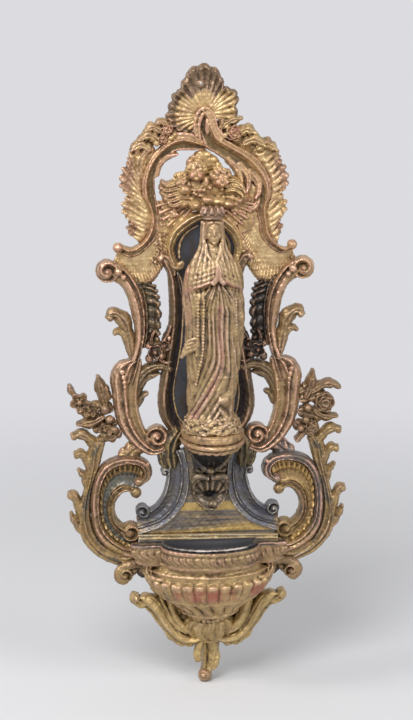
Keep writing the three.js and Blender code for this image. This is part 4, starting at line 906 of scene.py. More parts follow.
c_finish = {
    "left": worn_metal(
        "c_bronze_left", ink(150, 122, 92), bronze_deep, ink(202, 158, 134), soot_and_shade, stain_and_painted_light=ink(156, 130, 83), wear_and_highlight=0.7, grime_and_shade=0.6, sheen=0.32,
    ),
    "right": worn_metal(
        "c_bronze_right", ink(124, 112, 100), ink(96, 89, 86), ink(196, 154, 132), soot_and_shade, stain_and_painted_light=ink(170, 143, 92), wear_and_highlight=0.7, grime_and_shade=0.6, sheen=0.32,
    ),
}
c_rail_metal = worn_metal("c_rail_gilt", ink(156, 129, 87), ink(110, 90, 68), ink(195, 153, 118), soot_and_shade, wear_and_highlight=0.5, grime_and_shade=0.55)
lining_finish = {
    "left": worn_metal(
        "lining_patina", ink(104, 106, 102), ink(118, 110, 92), ink(192, 161, 112), ink(40, 40, 38), stain_and_painted_light=ink(160, 131, 84),
        wear_and_highlight=0.35, grime_and_shade=0.6,
    ),
    "right": worn_metal(
        "lining_gilt", ink(174, 145, 96), ink(146, 119, 79), ink(201, 157, 123), ink(60, 46, 32), stain_and_painted_light=ink(200, 167, 107),
        wear_and_highlight=0.35, grime_and_shade=0.55,
    ),
}
for name, side in sides:
    shapes = [
        strip(
            side, c_outer, c_inner, lambda u, v: 11 * moulding(v, c_face) * (1 - 0.25 * np.clip((u - 0.75) / 0.25, 0, 1)), along=220,
            stain_and_painted_light=lambda u, v: np.clip(3 * u - 1.9, 0, 1),
        ),
        ball(side, (38.8, 6.4, -68.6), (2.9, 4.4, 2.9)),
        ball(side, (33.4, 8, -58.4), (1.2, 2, 1.2)),
        leaf(side, [(50, -57), (45, -54), (40.6, -50.6), (37, -47)], [4.4, 5.6, 5.4, 3], 5.6, lobes=3.5, notch=0.16, stain_and_painted_light=0.6 * (side < 0)),
    ]
    cast(f"c_scroll_{name}_casting", shapes, c_finish[name], "copper", f"c_scroll_{name}")
    shapes = [
        strip(side, c_rail_outer, c_rail_inner, lambda u, v: 9 * moulding(v, c_rail_face)),
        ball(side, (40.4, 5.4, -75), (3.2, 4, 3.2)),
        volute(side, (43.6, -97.6), 5.2, 9.6, hand=1),
    ]
    cast(f"c_rail_{name}_casting", shapes, c_rail_metal, "gilt", f"c_rail_{name}", voxel=0.4)

    def lining_rise(u, v):
        dish = moulding(v, [(0, 1), (0.3, 0.96), (0.5, 0.66), (0.8, 0.6), (1, 0.72)])
        return 7.4 * dish * (1 - 0.42 * (1 - flutes(u, lining_pleats)) * moulding(v, [(0, 0.8), (0.25, 1), (0.5, 0.3), (1, 0)]))

    lining = strip(side, lining_outer, lining_inner, lining_rise, along=220, across=34, stain_and_painted_light=lambda u, v: 1.0 * (v < 0.38))
    cast(f"lining_{name}_casting", [lining], lining_finish[name], "patina", f"c_shell_{name}", voxel=0.4, eased=1)

# Outer acanthus: the long gilt leaf that climbs outside each C-scroll and breaks into curled tips.
# It is one casting, grooved along its length, and it runs down into the foot of the C-scroll.

acanthus_metal = worn_metal(
    "acanthus_gilt", ink(166, 137, 91), ink(123, 102, 75), ink(196, 161, 126), ink(52, 42, 32), stain_and_painted_light=ink(96, 92, 84), wear_and_highlight=0.45, grime_and_shade=0.5,
)
acanthus_outer = [
    (62.5, -45.5), (67, -51), (68, -60), (69, -70), (71.5, -80), (73.4, -90), (70.6, -103), (61, -113.5), (48, -119),
]
acanthus_inner = [
    (57, -46.5), (58.5, -52), (60.5, -60), (63.6, -68), (65.6, -77), (66, -88), (63.6, -98), (57, -107), (46, -113.5),
]
acanthus_face = [(0, 0.45), (0.18, 0.82), (0.3, 0.72), (0.5, 1), (0.66, 0.78), (0.84, 0.86), (1, 0.55)]
acanthus_tips = [
    ([(61, -52), (64.5, -46), (70, -41.6), (75.4, -42)], [2.6, 3.6, 3, 1.4]),
    ([(59, -50), (59.5, -45.5), (57, -41.6)], [2, 2.4, 0.8]),
    ([(65, -65), (67, -57.6), (70.6, -52.6), (74, -52.4)], [2.2, 3, 2.4, 1.2]),
    ([(68.6, -72), (69.4, -66), (72.4, -61.4)], [1.6, 2.2, 0.8]),
    ([(70.6, -92), (72.4, -83), (75.4, -76.4), (78, -75.6)], [2.4, 3.2, 2.6, 1.2]),
    ([(71, -99), (74.6, -92), (77, -86.6)], [1.8, 2.4, 0.8]),
    ([(62, -106), (54, -111), (46, -112.6), (40, -110)], [2.4, 4, 4, 1.8]),
    ([(58, -101), (50, -106), (44, -106.4), (40, -104)], [1.8, 3, 2.6, 1.2]),
]
for name, side in sides:
    shapes = [strip(
        side, acanthus_outer, acanthus_inner, lambda u, v: 6.6 * moulding(v, acanthus_face), along=170,
        stain_and_painted_light=lambda u, v: 0.8 * np.sin(7 * u + 2 * v) ** 2 * (v > 0.3),
    )]
    shapes += [leaf(side, spine, halves, 6.8, lobes=2.5, notch=0.24, slant=0.7, tip=1.1) for spine, halves in acanthus_tips]
    shapes += [ball(side, (x, 5.4, z), 1.7) for x, z in [(74.6, -42.6), (73.2, -53.2), (77, -76.6)]]
    cast(f"acanthus_{name}_casting", shapes, acanthus_metal, "gilt", f"outer_acanthus_{name}", voxel=0.4)

# Flower sprays: blooms, pointed leaves and round buds, cast in gilt metal.
# Each grows from the outside of a side scroll.

spray_metal = worn_metal("spray_gilt", ink(150, 122, 88), ink(112, 90, 66), ink(190, 150, 124), ink(40, 31, 25), wear_and_highlight=0.5, grime_and_shade=0.8)
spray_shapes = {
    "left": [
        blossom(-1, (71, -22.4), 5.6, 9.6, 3, turn=0.3), blossom(-1, (65.6, -26.6), 4.4, 10.4, 3, turn=1.0),
        leaf(-1, [(73.5, -19), (75.5, -16.5), (76.6, -13)], [1.6, 2, 0.8], 8, lobes=0),
        leaf(-1, [(56, -26), (58.6, -17), (60.6, -8)], [2, 4, 0.6], 8.4, lobes=2.5, notch=0.16),
        leaf(-1, [(54, -22), (55.6, -18), (56, -14)], [2, 2.4, 0.8], 7.4, lobes=2),
        leaf(-1, [(57, -30.6), (64, -34.2), (73, -35.4)], [1.8, 3.8, 0.6], 8.4, lobes=2.5, notch=0.16),
        leaf(-1, [(52, -28), (59, -26), (66, -28.6), (72, -28.4)], [3.4, 4.4, 3.4, 0.8], 6.4, lobes=3.5),
        leaf(-1, [(50, -34), (55, -36), (60, -38.6), (63.6, -38.4)], [3.4, 4.2, 3, 0.8], 6.2, lobes=3),
        leaf(-1, [(48, -39), (52, -42.6), (57, -45)], [3, 3.6, 1], 6, lobes=2.5),
        ball(-1, (56.8, 6.5, -27), (2.8, 3.2, 2.8)), ball(-1, (54.6, 6.5, -32.4), (2.4, 3, 2.4)), ball(-1, (52, 6, -38.4), (2.2, 3, 2.2)),
        blossom(-1, (57.2, -38.6), 4.2, 9, 3), leaf(-1, [(54, -40), (57.6, -43.6), (61, -44)], [1.4, 2.2, 0.6], 7, lobes=2),
    ],
    "right": [
        rose(1, (66.4, -26), 5.8, 10.6, 2), leaf(1, [(58.6, -20.6), (65, -16.4), (71, -15.8), (75.4, -18)], [2.2, 3.2, 2.6, 0.8], 9, lobes=3),
        leaf(1, [(55.6, -24), (58.6, -16), (60.2, -7.4)], [2.4, 3.6, 0.6], 8.4, lobes=2.5, notch=0.16),
        leaf(1, [(60, -30), (66, -34), (74, -34)], [1.8, 3.2, 0.6], 8.6, lobes=2.5, notch=0.16),
        leaf(1, [(51, -20), (55, -18.4), (57, -14.4)], [3, 3.4, 1], 6.4, lobes=2.5),
        leaf(1, [(52, -25), (57, -23.4), (62, -22.4), (67, -20.4)], [3.4, 4.4, 3.4, 0.8], 6.4, lobes=3.5),
        leaf(1, [(51, -31), (57, -32), (62, -34), (66.6, -36)], [3.4, 4.6, 3.4, 0.8], 6.2, lobes=3.5),
        leaf(1, [(49, -37), (54, -40.6), (60, -44.8)], [3.2, 4.2, 1], 6, lobes=2.5),
        ball(1, (55.6, 6.5, -35.6), (2.2, 3, 2.2)), ball(1, (52.8, 6.4, -40.4), (2, 2.8, 2)), ball(1, (57, 6, -29), (2.4, 2.8, 2.4)),
        rose(1, (59.4, -40.6), 4.2, 9.4, 2), leaf(1, [(56, -42), (53, -45.6), (50.4, -48.4)], [1.6, 2.6, 0.8], 7, lobes=2),
    ],
}
for name, side in sides:
    cast(f"spray_{name}_casting", spray_shapes[name], spray_metal, "gilt", f"flower_spray_{name}", voxel=0.34, eased=1)

# Console: two concave bands of dark patinated metal that sweep from the socle to the basin, ending in small
# volutes, with a plain rubbed field between them and gilt leaf tips beside the socle, painted dark both as dull
# gilt and as the shade they sit in.

console_metal = worn_metal(
    "console_patina", ink(98, 98, 107), ink(112, 105, 96), ink(184, 177, 168), ink(40, 39, 42), stain_and_painted_light=ink(160, 131, 85), wear_and_highlight=0.6, grime_and_shade=0.7,
)
# The leaf tips and the ball behind them are painted dark: partly dull gilt, partly painted shade beside the socle.
tip_metal = worn_metal(
    "tip_gilt", ink(104, 89, 62), ink(66, 58, 46), ink(170, 144, 98), ink(22, 19, 16), wear_and_highlight=0.5, grime_and_shade=0.9,
)
field_metal = worn_metal(
    "field_rubbed", ink(156, 134, 100), ink(106, 102, 102), ink(206, 174, 118), ink(54, 47, 42), stain_and_painted_light=ink(212, 178, 108), wear_and_highlight=0.6, grime_and_shade=0.5,
    stretch=(0.35, 1, 6),
)
console_outer = [(27, -51), (23.4, -55), (22.2, -60), (22.8, -68), (25, -76), (29, -82.5), (34, -85.6), (40, -87)]
console_inner = [(13, -51), (11.8, -56), (10.9, -61), (10.5, -70), (13, -81), (19.5, -89.6), (27, -95), (40, -99)]
console_face = [(0, 0.5), (0.07, 0.86), (0.15, 0.66), (0.4, 0.56), (0.6, 0.62), (0.66, 0.92), (0.72, 0.78), (0.9, 0.86), (0.96, 0.98), (1, 0.7)]
for name, side in sides:
    shapes = [
        strip(
            side, console_outer, console_inner, lambda u, v: 10 * moulding(v, console_face), along=170, across=34,
            stain_and_painted_light=lambda u, v: 0.55 * np.clip(4 * u - 3, 0, 1),
        ),
        volute(side, (36.8, -86), 3.9, 10.6, turns=1.4, hand=-1),
        volute(side, (23.8, -63.4), 2.4, 9.4, turns=1.2),
    ]
    cast(f"console_scroll_{name}_casting", shapes, console_metal, "patina", f"console_scroll_{name}", voxel=0.4)
    tips = [
        leaf(side, [(19.4, -62), (20.6, -54), (20, -47), (16, -40)], [4, 6.4, 6.4, 3.4], 10.4, lobes=2.5, notch=0.16),
        leaf(side, [(23, -62), (25.6, -56), (26, -50)], [2, 2.8, 1.6], 8.6, lobes=2),
        ball(side, (22, 3, -50), (5, 3, 4)),
    ]
    cast(f"console_tip_{name}", tips, tip_metal, "patina", f"console_scroll_{name}", voxel=0.4)
field_half = [(13, -50), (12, -61), (11.5, -71), (14.5, -82), (20.5, -90), (28, -95), (39.6, -98.6)]
cast(
    "console_field",
    [strip(
        1, field_half, mirrored(field_half), lambda u, v: 7.2 + 0.5 * np.sin(math.pi * v), along=110, across=60,
        stain_and_painted_light=lambda u, v: np.clip(3 * u - 1.9, 0, 1) * np.clip(1.2 - v, 0, 1) + 0.7 * (u > 0.48) * (u < 0.58),
    )],
    field_metal, "patina", "console_body",
)

# Corbel and cartouche: under the socle a hollowed dark bracket, and on it a small gilt shell shield
# with two rolled shoulders and a rim.


def half_round(half_width, front, rear, count, shift=0.0, straight=0.22):
    """Plan of a half-round against the wall, from right to left, as x and depth."""
    start = rear + (front - rear) * straight
    angles = np.linspace(0, math.pi, count - 2)
    x = np.concatenate([[half_width], half_width * np.cos(angles), [-half_width]])
    depth = np.concatenate([[rear], start + (front - start) * np.sin(angles), [rear]])
    return x + shift, depth


def level(x, depth, z):
    return np.stack([x, -depth, np.full_like(x, z)], axis=-1)


corbel_top = -47.8
corbel_rings = []
for drop, half, front in [(0, 14, 28), (0.06, 13.6, 26), (0.2, 11.6, 22), (0.45, 9.8, 17), (0.75, 8.4, 14), (1, 7.4, 12.4)]:
    x, depth = half_round(half, front, 7.8, 120, 1.25)
    rib = 1 + 0.05 * np.cos(18 * np.arctan2(depth - 7.8, x - 1.25))
    corbel_rings.append(level(1.25 + (x - 1.25) * rib, 7.8 + (depth - 7.8) * rib, corbel_top - 18 * drop))
corbel_metal = worn_metal(
    "corbel_patina", ink(74, 70, 66), ink(56, 54, 56), ink(147, 126, 95), ink(28, 27, 29), stain_and_painted_light=ink(166, 135, 82), wear_and_highlight=0.4, grime_and_shade=0.7,
)
corbel_shapes = [skin(corbel_rings), ball(1, (0.8, 17.4, -61), (2.2, 2, 1.8))]
for side in (-1, 1):
    middle = side * 1.25
    swag = [(middle + 11.6, 21, -49.4), (middle + 8.6, 18.4, -55), (middle + 4.4, 17, -59.4), (middle + 1, 16.4, -61.6)]
    corbel_shapes.append(tube(side, swag, [0.9, 1.2, 1.3, 1]))
    corbel_shapes.append(leaf(side, [(middle + 2.4, -60), (middle + 5.4, -62), (middle + 8.4, -61)], [1.4, 2.2, 1.2], 15.6, lobes=2, back=8))
cast("corbel", corbel_shapes, corbel_metal, "patina", "console_corbel", voxel=0.4)

# Its stain colour is near black: painted shade for the shield's mouth.
cartouche_metal = worn_metal(
    "cartouche_gilt", ink(122, 106, 84), ink(96, 86, 76), ink(182, 155, 124), ink(28, 26, 27), stain_and_painted_light=ink(26, 24, 26), wear_and_highlight=0.6, grime_and_shade=1.0,
)


def soft(value, width=0.9):
    """Goes from 0 to 1 as a value passes 0."""
    return np.clip(value / width + 0.5, 0, 1)


def shield_rise(r, a):
    """A shell mask: ribs spread over its upper half, and a full lip stands out under a deep mouth."""
    across = r * np.cos(a)
    up = r * np.sin(a)
    ribs = flutes(np.arctan2(across, up + 0.7) / math.pi, 11) * soft(up + 0.05, 0.2)
    mouth = np.exp(-((across / 0.42) ** 2) - ((up + 0.12) / 0.2) ** 2)
    lip = np.exp(-((across / 0.6) ** 2) - ((up + 0.62) / 0.24) ** 2)
    rim = moulding(r, [(0, 0.62), (0.6, 0.6), (0.76, 0.62), (0.9, 0.9), (1, 0.45)])
    return 7.5 + 7 * np.clip(rim + 0.28 * ribs + 0.34 * lip - 0.6 * mouth, 0.1, 1.2)


def shield_outline(a):
    """Broad lobed shoulders above, narrowing to a round foot."""
    low = np.clip(-np.sin(a), 0, 1)
    return 1.0 + 0.12 * np.abs(np.sin(3 * a)) * (1 - low) + 0.14 * low**3 - 0.2 * low * np.abs(np.cos(a))


cartouche = [
    dial(
        1, (0.8, -74.4), 10.0, shield_rise, 7.5, rings=40, spokes=120, reach=shield_outline,
        # The mouth takes the near-black colour as painted shade in its hollow.
        stain_and_painted_light=lambda r, a: np.exp(-((r * np.cos(a) / 0.4) ** 2) - ((r * np.sin(a) + 0.12) / 0.2) ** 2) > 0.35,
    ),
    ball(1, (2.4, 14, -81), (2.4, 2, 2.2)),
]
for side in (-1, 1):
    middle = side * 0.8
    horn = [(middle + 1, 14.4, -66.4), (middle + 4.4, 15, -65), (middle + 8, 14, -65.6), (middle + 9.6, 13, -68.6)]
    cartouche.append(tube(side, horn, [1.4, 1.9, 2, 1.5]))
    cartouche.append(leaf(side, [(middle + 8.8, -68), (middle + 9.4, -73), (middle + 7, -79)], [1.4, 1.8, 0.8], 13, lobes=2, back=7.5))
cast("cartouche", cartouche, cartouche_metal, "gilt", "console_cartouche", voxel=0.3, eased=1)

# Socle: the moulded half-round slab that the figure stands on, gilt, with a step and a scalloped apron.

figure_shift = 2.5
socle_top = -37.5
socle_metal = worn_metal("socle_gilt", ink(188, 155, 113), ink(158, 127, 90), ink(206, 166, 140), ink(50, 38, 29), wear_and_highlight=0.5, grime_and_shade=0.9)
socle_profile = [
    (0, 0.88), (0.03, 0.93), (0.1, 0.965), (0.3, 0.975), (0.42, 0.965), (0.45, 0.92), (0.48, 0.89), (0.53, 0.89), (0.56, 0.985),
    (0.62, 1.01), (0.74, 1.01), (0.78, 0.96), (0.82, 0.87), (0.88, 0.86), (0.92, 0.9), (1.1, 0.87),
]
socle_rings = []
for drop, size in socle_profile:
    x, depth = half_round(18 * size, 2.8 + 36.4 * (0.5 + size / 2), 2.8, 240, figure_shift)
    ring = level(x, depth, socle_top - 10 * drop)
    if drop > 1:
        ring[:, 2] += 1.4 * (1 - np.abs(np.sin(np.linspace(0, 11 * math.pi, len(x)))))
    socle_rings.append(ring)
cast("socle", [skin(socle_rings)], socle_metal, "gilt", "figure_socle", voxel=0.36, eased=1)

# Figure: a crowned woman in prayer, cast in gilt metal and standing on a rough mound.
# A pleated robe flows down to the left foot between the halves of a mantle with braided borders.
# The mantle hangs from the forearms, which meet in raised, joined hands.

figure_metal = worn_metal(
    "figure_gilt", ink(174, 147, 106), ink(144, 117, 83), ink(206, 174, 146), ink(46, 36, 28), stain_and_painted_light=ink(178, 134, 112),
    wear_and_highlight=0.65, grime_and_shade=1.1,
)
figure_base = socle_top + 8
figure_axis = 21.0
# Rise over the socle, reach to the left and to the right of the axis, and depth in front of it.
body_levels = np.array([
    (-7.9, 17, 15.4, 14.6), (-3.5, 16.4, 14.4, 13.6), (0, 15.4, 12.6, 12.4), (3, 13.6, 10.4, 11.2), (10, 13.6, 10.8, 10.6),
    (25, 13.4, 13, 10.2), (41, 13.8, 15.4, 10.4), (58, 15.2, 16.2, 10.8), (72, 15, 15.6, 10.8), (82, 13, 14.4, 9.8),
    (87, 11, 12.6, 8.8), (91, 7.4, 8.2, 7.2), (95, 4.6, 5.2, 5.4), (99, 4.2, 4.4, 4.6),
])


def body(rise, column):
    return np.interp(rise, body_levels[:, 0], body_levels[:, column])


def fold(place):
    """Height of a round fold; sharp valleys lie half-way between whole numbers."""
    return np.abs(np.cos(math.pi * place)) ** 0.8


def left_border(rise):
    """Edge of the mantle's left half on the robe."""
    return np.interp(rise, [6, 20, 28, 34, 40, 67], [-13.4, -9.9, -8.3, -6.9, -6.1, -5.4])


def right_border(rise):
    return np.interp(rise, [0, 24, 67], [7.4, 9.6, 8.8])


def sleeve_edge(x):
    """Rise of the sleeves' lower edge across the figure; it peaks at the hands."""
    return np.interp(x, [-17, -12.2, -5.9, 2.2, 8.8, 13, 17], [67.4, 71.6, 74.2, 78.4, 73.8, 72.4, 69])


def sweep_left(x, rise):
    """How far the robe's pleats swing to the left foot below the knee."""
    return 4.5 * (np.clip(35 - rise, 0, None) / 15) ** 1.5 * soft(7 - x, 9)


def drapery(x, rise):
    """How far the cloth stands off the plain body, and how much it is rubbed to copper red."""
    above = rise - sleeve_edge(x)
    below = soft(-above, 0.8)
    robe = soft(x - left_border(rise)) * soft(right_border(rise) - x) * soft(-above - 1.4)
    run = x + sweep_left(x, rise) - 1.8
    count = run / np.interp(rise, [16, 40, 60, 67, 74], [3.1, 2.6, 2.3, 1.6, 0.8]) + 0.22 * np.sin(rise / 7 + run / 3)
    pleat = fold(count) * (0.75 + 0.45 * np.sin(2.1 * np.round(count) + 0.09 * rise))
    crumple = 0.16 * np.sin(rise / 2.3 + x) * np.sin(rise / 5.1 - 0.6 * x)
    broad = fold(x / 4.1 + 0.35 * np.sin(rise / 12 + 0.3 * x) + 0.02 * rise)
    fine = fold(x / 1.9 - 0.4 * np.sin(rise / 7) + 0.03 * rise)
    hang = 0.6 * broad + (0.35 + 0.25 * soft(-8 - x, 4) * soft(rise - 38, 8)) * fine + crumple
    hem = 0.7 * soft(rise - 22 - 0.12 * x, 1.2) * soft(x - 1.5, 3)
    sleeve = 2.9 * np.exp(-np.clip(above, 0, None) / 7) + 0.7 * fold(above / 2.6 + 0.03 * x) * soft(8 - above, 5)
    shoulder = 0.8 * fold(x / (1.9 + 0.03 * (88 - rise)) + 0.2)
    inward = soft(11.5 - np.abs(x - 1), 5)
    sleeve = sleeve * inward + 1.2 * (1 - inward)
    hollow = 1.8 * np.exp(-np.abs(above + 2) / 2) * inward
    cloth = robe * (1.8 * pleat - 0.9 + hem + crumple) + (1 - robe) * (1.4 * hang + 0.3)
    off = below * (cloth - hollow) + (1 - below) * (sleeve + shoulder * soft(above - 2, 5))
    red = 0.9 * robe * (np.abs(run - 1.6) < 2) * (rise < 64) + 0.8 * (np.abs(above - 0.6) < 1) + 0.5 * (1 - robe) * (x < -11) * (rise > 50)
    return off * np.interp(rise, [-1, 2, 88, 92], [0, 1, 1, 0]), np.minimum(red, 1)


def on_figure(points, sink=0.3):
    """Places on the figure's front from x and rise."""
    placed = []
    for x, rise in points:
        share = min(abs(x) / body(rise, 2 if x > 0 else 1), 0.97)
        depth = body(rise, 3) * math.sqrt(1 - share**2)
        placed.append((figure_shift + x, figure_axis + depth + float(drapery(x, rise)[0]) - sink, figure_base + rise))
    return placed


rock = np.random.default_rng(5)
turn = np.linspace(0, 2 * math.pi, 380, endpoint=False)
facing = np.clip(2.2 * np.sin(turn) + 0.7, 0, 1)
robe_rings = []
robe_red = []
for rise in np.concatenate([np.linspace(-7.9, 0, 16), np.linspace(0.5, 99, 200)]):
    across = np.cos(turn) * np.where(np.cos(turn) > 0, body(rise, 2), body(rise, 1))
    forward = body(rise, 3) * np.sin(turn)
    off, red = drapery(across, np.full_like(across, rise))
    if rise <= 0:
        off = 0.6 * np.sin(9 * turn + 1.3 * rise) + rock.uniform(-0.3, 0.3, len(turn))
    x = figure_shift + across + off * facing * np.cos(turn)
    depth = figure_axis + forward + off * facing * np.sin(turn)
    robe_rings.append(level(x, np.maximum(depth, 3.0), figure_base + rise))
    robe_red.append(red * facing * (rise > 0))
figure = [skin(robe_rings, np.array(robe_red))]

# Braids: rows of pearls along the mantle's borders.
border_rises = np.linspace(20, 67, 27)
braids = [
    [(left_border(rise) - 0.4, rise) for rise in border_rises],
    [(left_border(rise) - 3.4, rise) for rise in border_rises[9:]],
    [(right_border(rise) + 3, rise) for rise in border_rises[15:]],
]
for braid in braids:
    for place in on_figure(braid, -0.3):
        figure.append(ball(1, place, 0.9, turns=10, rows=8, stain_and_painted_light=0.3))
# A bunch of cloth is tucked at the left hip, and its end hangs below it.
for k in range(4):
    points = [(-18.4 + 0.9 * k, 34.8 + 2.3 * k), (-15.4 + 0.5 * k, 37.6 + 2.2 * k), (-9.6, 40.4 + 1.8 * k)]
    roll = [(figure_shift + x, figure_axis + 6.4 + 1.4 * t, figure_base + rise) for t, (x, rise) in enumerate(points)]
    figure.append(tube(1, roll, [1.0, 1.25, 0.9], count=26))
figure.append(tube(1, on_figure([(-13.4, 37), (-12.8, 31), (-12.4, 24)], 0.4), [1.6, 1.3, 0.7]))

# Hands and veil: the hands are joined before the breast; the veil falls beside the face over the shoulders.
for name, side in sides:
    def at(x, forward, rise):
        return (side * figure_shift + x, figure_axis + forward, figure_base + rise)

    lean = 2.0 * side
    hand = [at(3.2 + lean, 13, 76), at(0.8 + lean, 14.2, 79.4), at(0.6 + lean, 14.3, 83), at(0.4 + lean, 14, 86.4)]
    figure.append(tube(side, hand, [1.6, 1.3, 1.1, 0.5], stain_and_painted_light=0.9))
    veil_folds = [
        ([at(5.0, 0.8, 109), at(5.5, 1.2, 101), at(6.4, 2.4, 94.6), at(9.6, 3.8, 88), at(12.4, 5.4, 81)], [1.2, 1.4, 1.6, 1.7, 1.0]),
        ([at(4.4, 3.2, 108.4), at(5.0, 3.8, 101), at(5.0, 4.8, 95), at(7, 6.6, 88.6), at(9.4, 8.6, 81.6)], [1.0, 1.1, 1.2, 1.3, 0.8]),
        ([at(3.8, 4.8, 97), at(4, 6.4, 93), at(4.8, 8.4, 88), at(6, 10.2, 82)], [0.7, 1.0, 1.0, 0.7]),
    ]
    for path, radii in veil_folds:
        figure.append(tube(side, path, radii, count=40))
    figure.append(tube(side, [at(3.6, 6, 93.6), at(2.6, 8.2, 90), at(0.4 + 0.3 * lean, 9.4, 86.6)], [0.7, 0.9, 0.7]))
figure.append(ball(1, (figure_shift + 0.6, figure_axis + 3, figure_base + 92), (4, 4.2, 4.6)))
# Mound: tumbled stones under the hem.
for k in range(110):
    angle = rock.uniform(-0.1, math.pi + 0.1)
    rise = rock.uniform(-7.4, 1.0)
    size = rock.uniform(0.7, 1.5)
    reach_across = body(rise, 2 if math.cos(angle) > 0 else 1)
    place = (
        figure_shift + reach_across * math.cos(angle), figure_axis + body(rise, 3) * math.sin(angle), figure_base + rise,
    )
    figure.append(ball(1, place, (size, size * 0.8, size * 0.6), turns=10, rows=7))
cast("figure_robe", figure, figure_metal, "gilt", "virgin_figure", voxel=0.4, eased=1, rough=0.08)

# Head: a calm, plain face on even proportions, between veil and collar, bowed a little.
# It is cast with the figure and finished finer.

head_metal = worn_metal("head_gilt", ink(180, 151, 112), ink(152, 123, 90), ink(202, 165, 141), ink(68, 53, 40), wear_and_highlight=0.5, grime_and_shade=0.7)
face = (figure_shift + 0.5, figure_axis + 2.6, figure_base + 103.4)


def on_face(x, forward, z):
    return (face[0] + x, face[1] + forward, face[2] + z)


head = [
    ball(1, on_face(0, 0, 0.6), (4.4, 5.4, 6.8), turns=32, rows=20),
    ball(1, on_face(0, 1.4, -3.6), (3.3, 3.8, 3.8), turns=24, rows=16),
    ball(1, on_face(0, 4.6, -6.0), (1.2, 1.0, 1.0)),
    tube(1, [on_face(0, 4.9, 1.4), on_face(0, 5.7, -0.6), on_face(0, 6.3, -1.7)], [0.42, 0.55, 0.75], count=16),
    ball(1, on_face(0, 5.6, -2.0), (0.95, 0.6, 0.45)),
    ball(1, on_face(0, 4.9, -3.7), (1.25, 0.8, 0.36)),
    ball(1, on_face(0, 4.8, -4.4), (1.05, 0.75, 0.42)),
    tube(1, [on_face(0, -1, -9), on_face(0, 0, -5)], [3.2, 3.0], count=10),
    ball(1, on_face(0, -2.2, 1.6), (5.5, 6, 7.2), turns=32, rows=20),
]
for hand in (-1, 1):
    brow = [on_face(hand * 0.7, 5.1, 1.7), on_face(hand * 2.0, 4.7, 2.0), on_face(hand * 3.2, 3.7, 1.4)]
    hair = [on_face(hand * 0.4, 4.5, 5.4), on_face(hand * 3, 3.6, 4.4), on_face(hand * 4.2, 1.8, 1), on_face(hand * 4.3, 1.4, -4)]
    head.append(tube(1, brow, [0.3, 0.36, 0.25], count=14))
    head.append(ball(1, on_face(hand * 1.8, 4.4, 0.5), (0.95, 0.62, 0.5)))
    head.append(ball(1, on_face(hand * 2.5, 3.4, -2.2), (1.4, 1.3, 1.7)))
    head.append(tube(1, hair, [0.8, 1.0, 1.0, 0.8]))
cast("figure_head", head, head_metal, "gilt", voxel=0.24, eased=1, rough=0.03)

# Crown: an open gilt circlet worn to copper, with leaf points and pearls, pressed over the veil.

crown_metal = worn_metal("crown_copper", ink(147, 117, 93), ink(121, 97, 78), ink(186, 149, 130), ink(56, 44, 37), wear_and_highlight=0.5, grime_and_shade=0.9)
crown_base = figure_base + 110.0
crown_axis = np.array([figure_shift + 0.2, figure_axis + 1.4])
crown_radius = 5.7
crown_points = 9
crown_rings = []
for lift, grow in [(0, -0.8), (0, 0), (0.6, 0.3), (1.2, 0), (3.4, -0.1), (4.4, 0.1), (4.4, -0.9), (0, -1.4)]:
    angles = np.linspace(0, 2 * math.pi, 96, endpoint=False)
    radius = crown_radius + grow
    crown_rings.append(level(crown_axis[0] + radius * np.cos(angles), crown_axis[1] + radius * np.sin(angles), crown_base + lift))
crown_shapes = [skin(crown_rings), ball(1, (*crown_axis, crown_base + 2.8), (5, 5, 3.4))]
for k in range(crown_points):
    angle = 2 * math.pi * (k + 0.5) / crown_points
    foot = crown_axis + crown_radius * np.array([math.cos(angle), math.sin(angle)])
    top = crown_axis + 0.92 * crown_radius * np.array([math.cos(angle), math.sin(angle)])
    half_turn = angle + math.pi / crown_points
    gem = crown_axis + 1.02 * crown_radius * np.array([math.cos(half_turn), math.sin(half_turn)])
    crown_shapes.append(tube(1, [(*foot, crown_base + 3), (*top, crown_base + 5.8), (*top, crown_base + 6.4)], [1.5, 1.0, 0.5], count=10))
    crown_shapes.append(ball(1, (*top, crown_base + 6.2), 0.7, turns=10, rows=7))
    crown_shapes.append(ball(1, (*gem, crown_base + 2.3), 0.8, turns=10, rows=7))
cast("crown", crown_shapes, crown_metal, "copper", "figure_crown", voxel=0.3, eased=1)

# Basin back and rim: a dark block with a rubbed moulding along its top edge stands behind the bowl, and the
# gilt rim with two ears and a band of leaf ornament lies before it. The rim is open inside for the liner.

back_metal = worn_metal(
    "ledge_patina", ink(84, 86, 94), ink(104, 96, 82), ink(188, 176, 154), ink(38, 38, 42), stain_and_painted_light=ink(172, 148, 104), wear_and_highlight=0.6, grime_and_shade=0.7,
)
back_edge = [
    (0, -112.4), (0, -99.5), (8.8, -99.5), (9.5, -99.9), (9.6, -100.5), (8.9, -100.8), (9, -101.1), (10, -101.4), (10.3, -102),
    (9.8, -102.5), (10.2, -102.8), (10.2, -103.1), (10.2, -112.4),
]
back_tilt = 0.022
back_rings = [[(x, -depth, z - back_tilt * x) for depth, z in back_edge] for x in np.linspace(-39.6, 39.6, 60)]
back_rubbed = [0, 0, 0.8, 1, 0.9, 0.4, 0.3, 0.9, 1, 0.6, 0.2, 0, 0]
cast("ledge", [skin(back_rings, np.array(back_rubbed))], back_metal, "patina", "basin_back", voxel=0.35, eased=1, rough=0.05)
rim_metal = worn_metal(
    "rim_gilt", ink(160, 133, 96), ink(131, 105, 73), ink(191, 151, 125), ink(50, 39, 30), stain_and_painted_light=ink(78, 77, 80), wear_and_highlight=0.7, grime_and_shade=0.7,
)
rim_top = -103.0
rim_height = 11.6


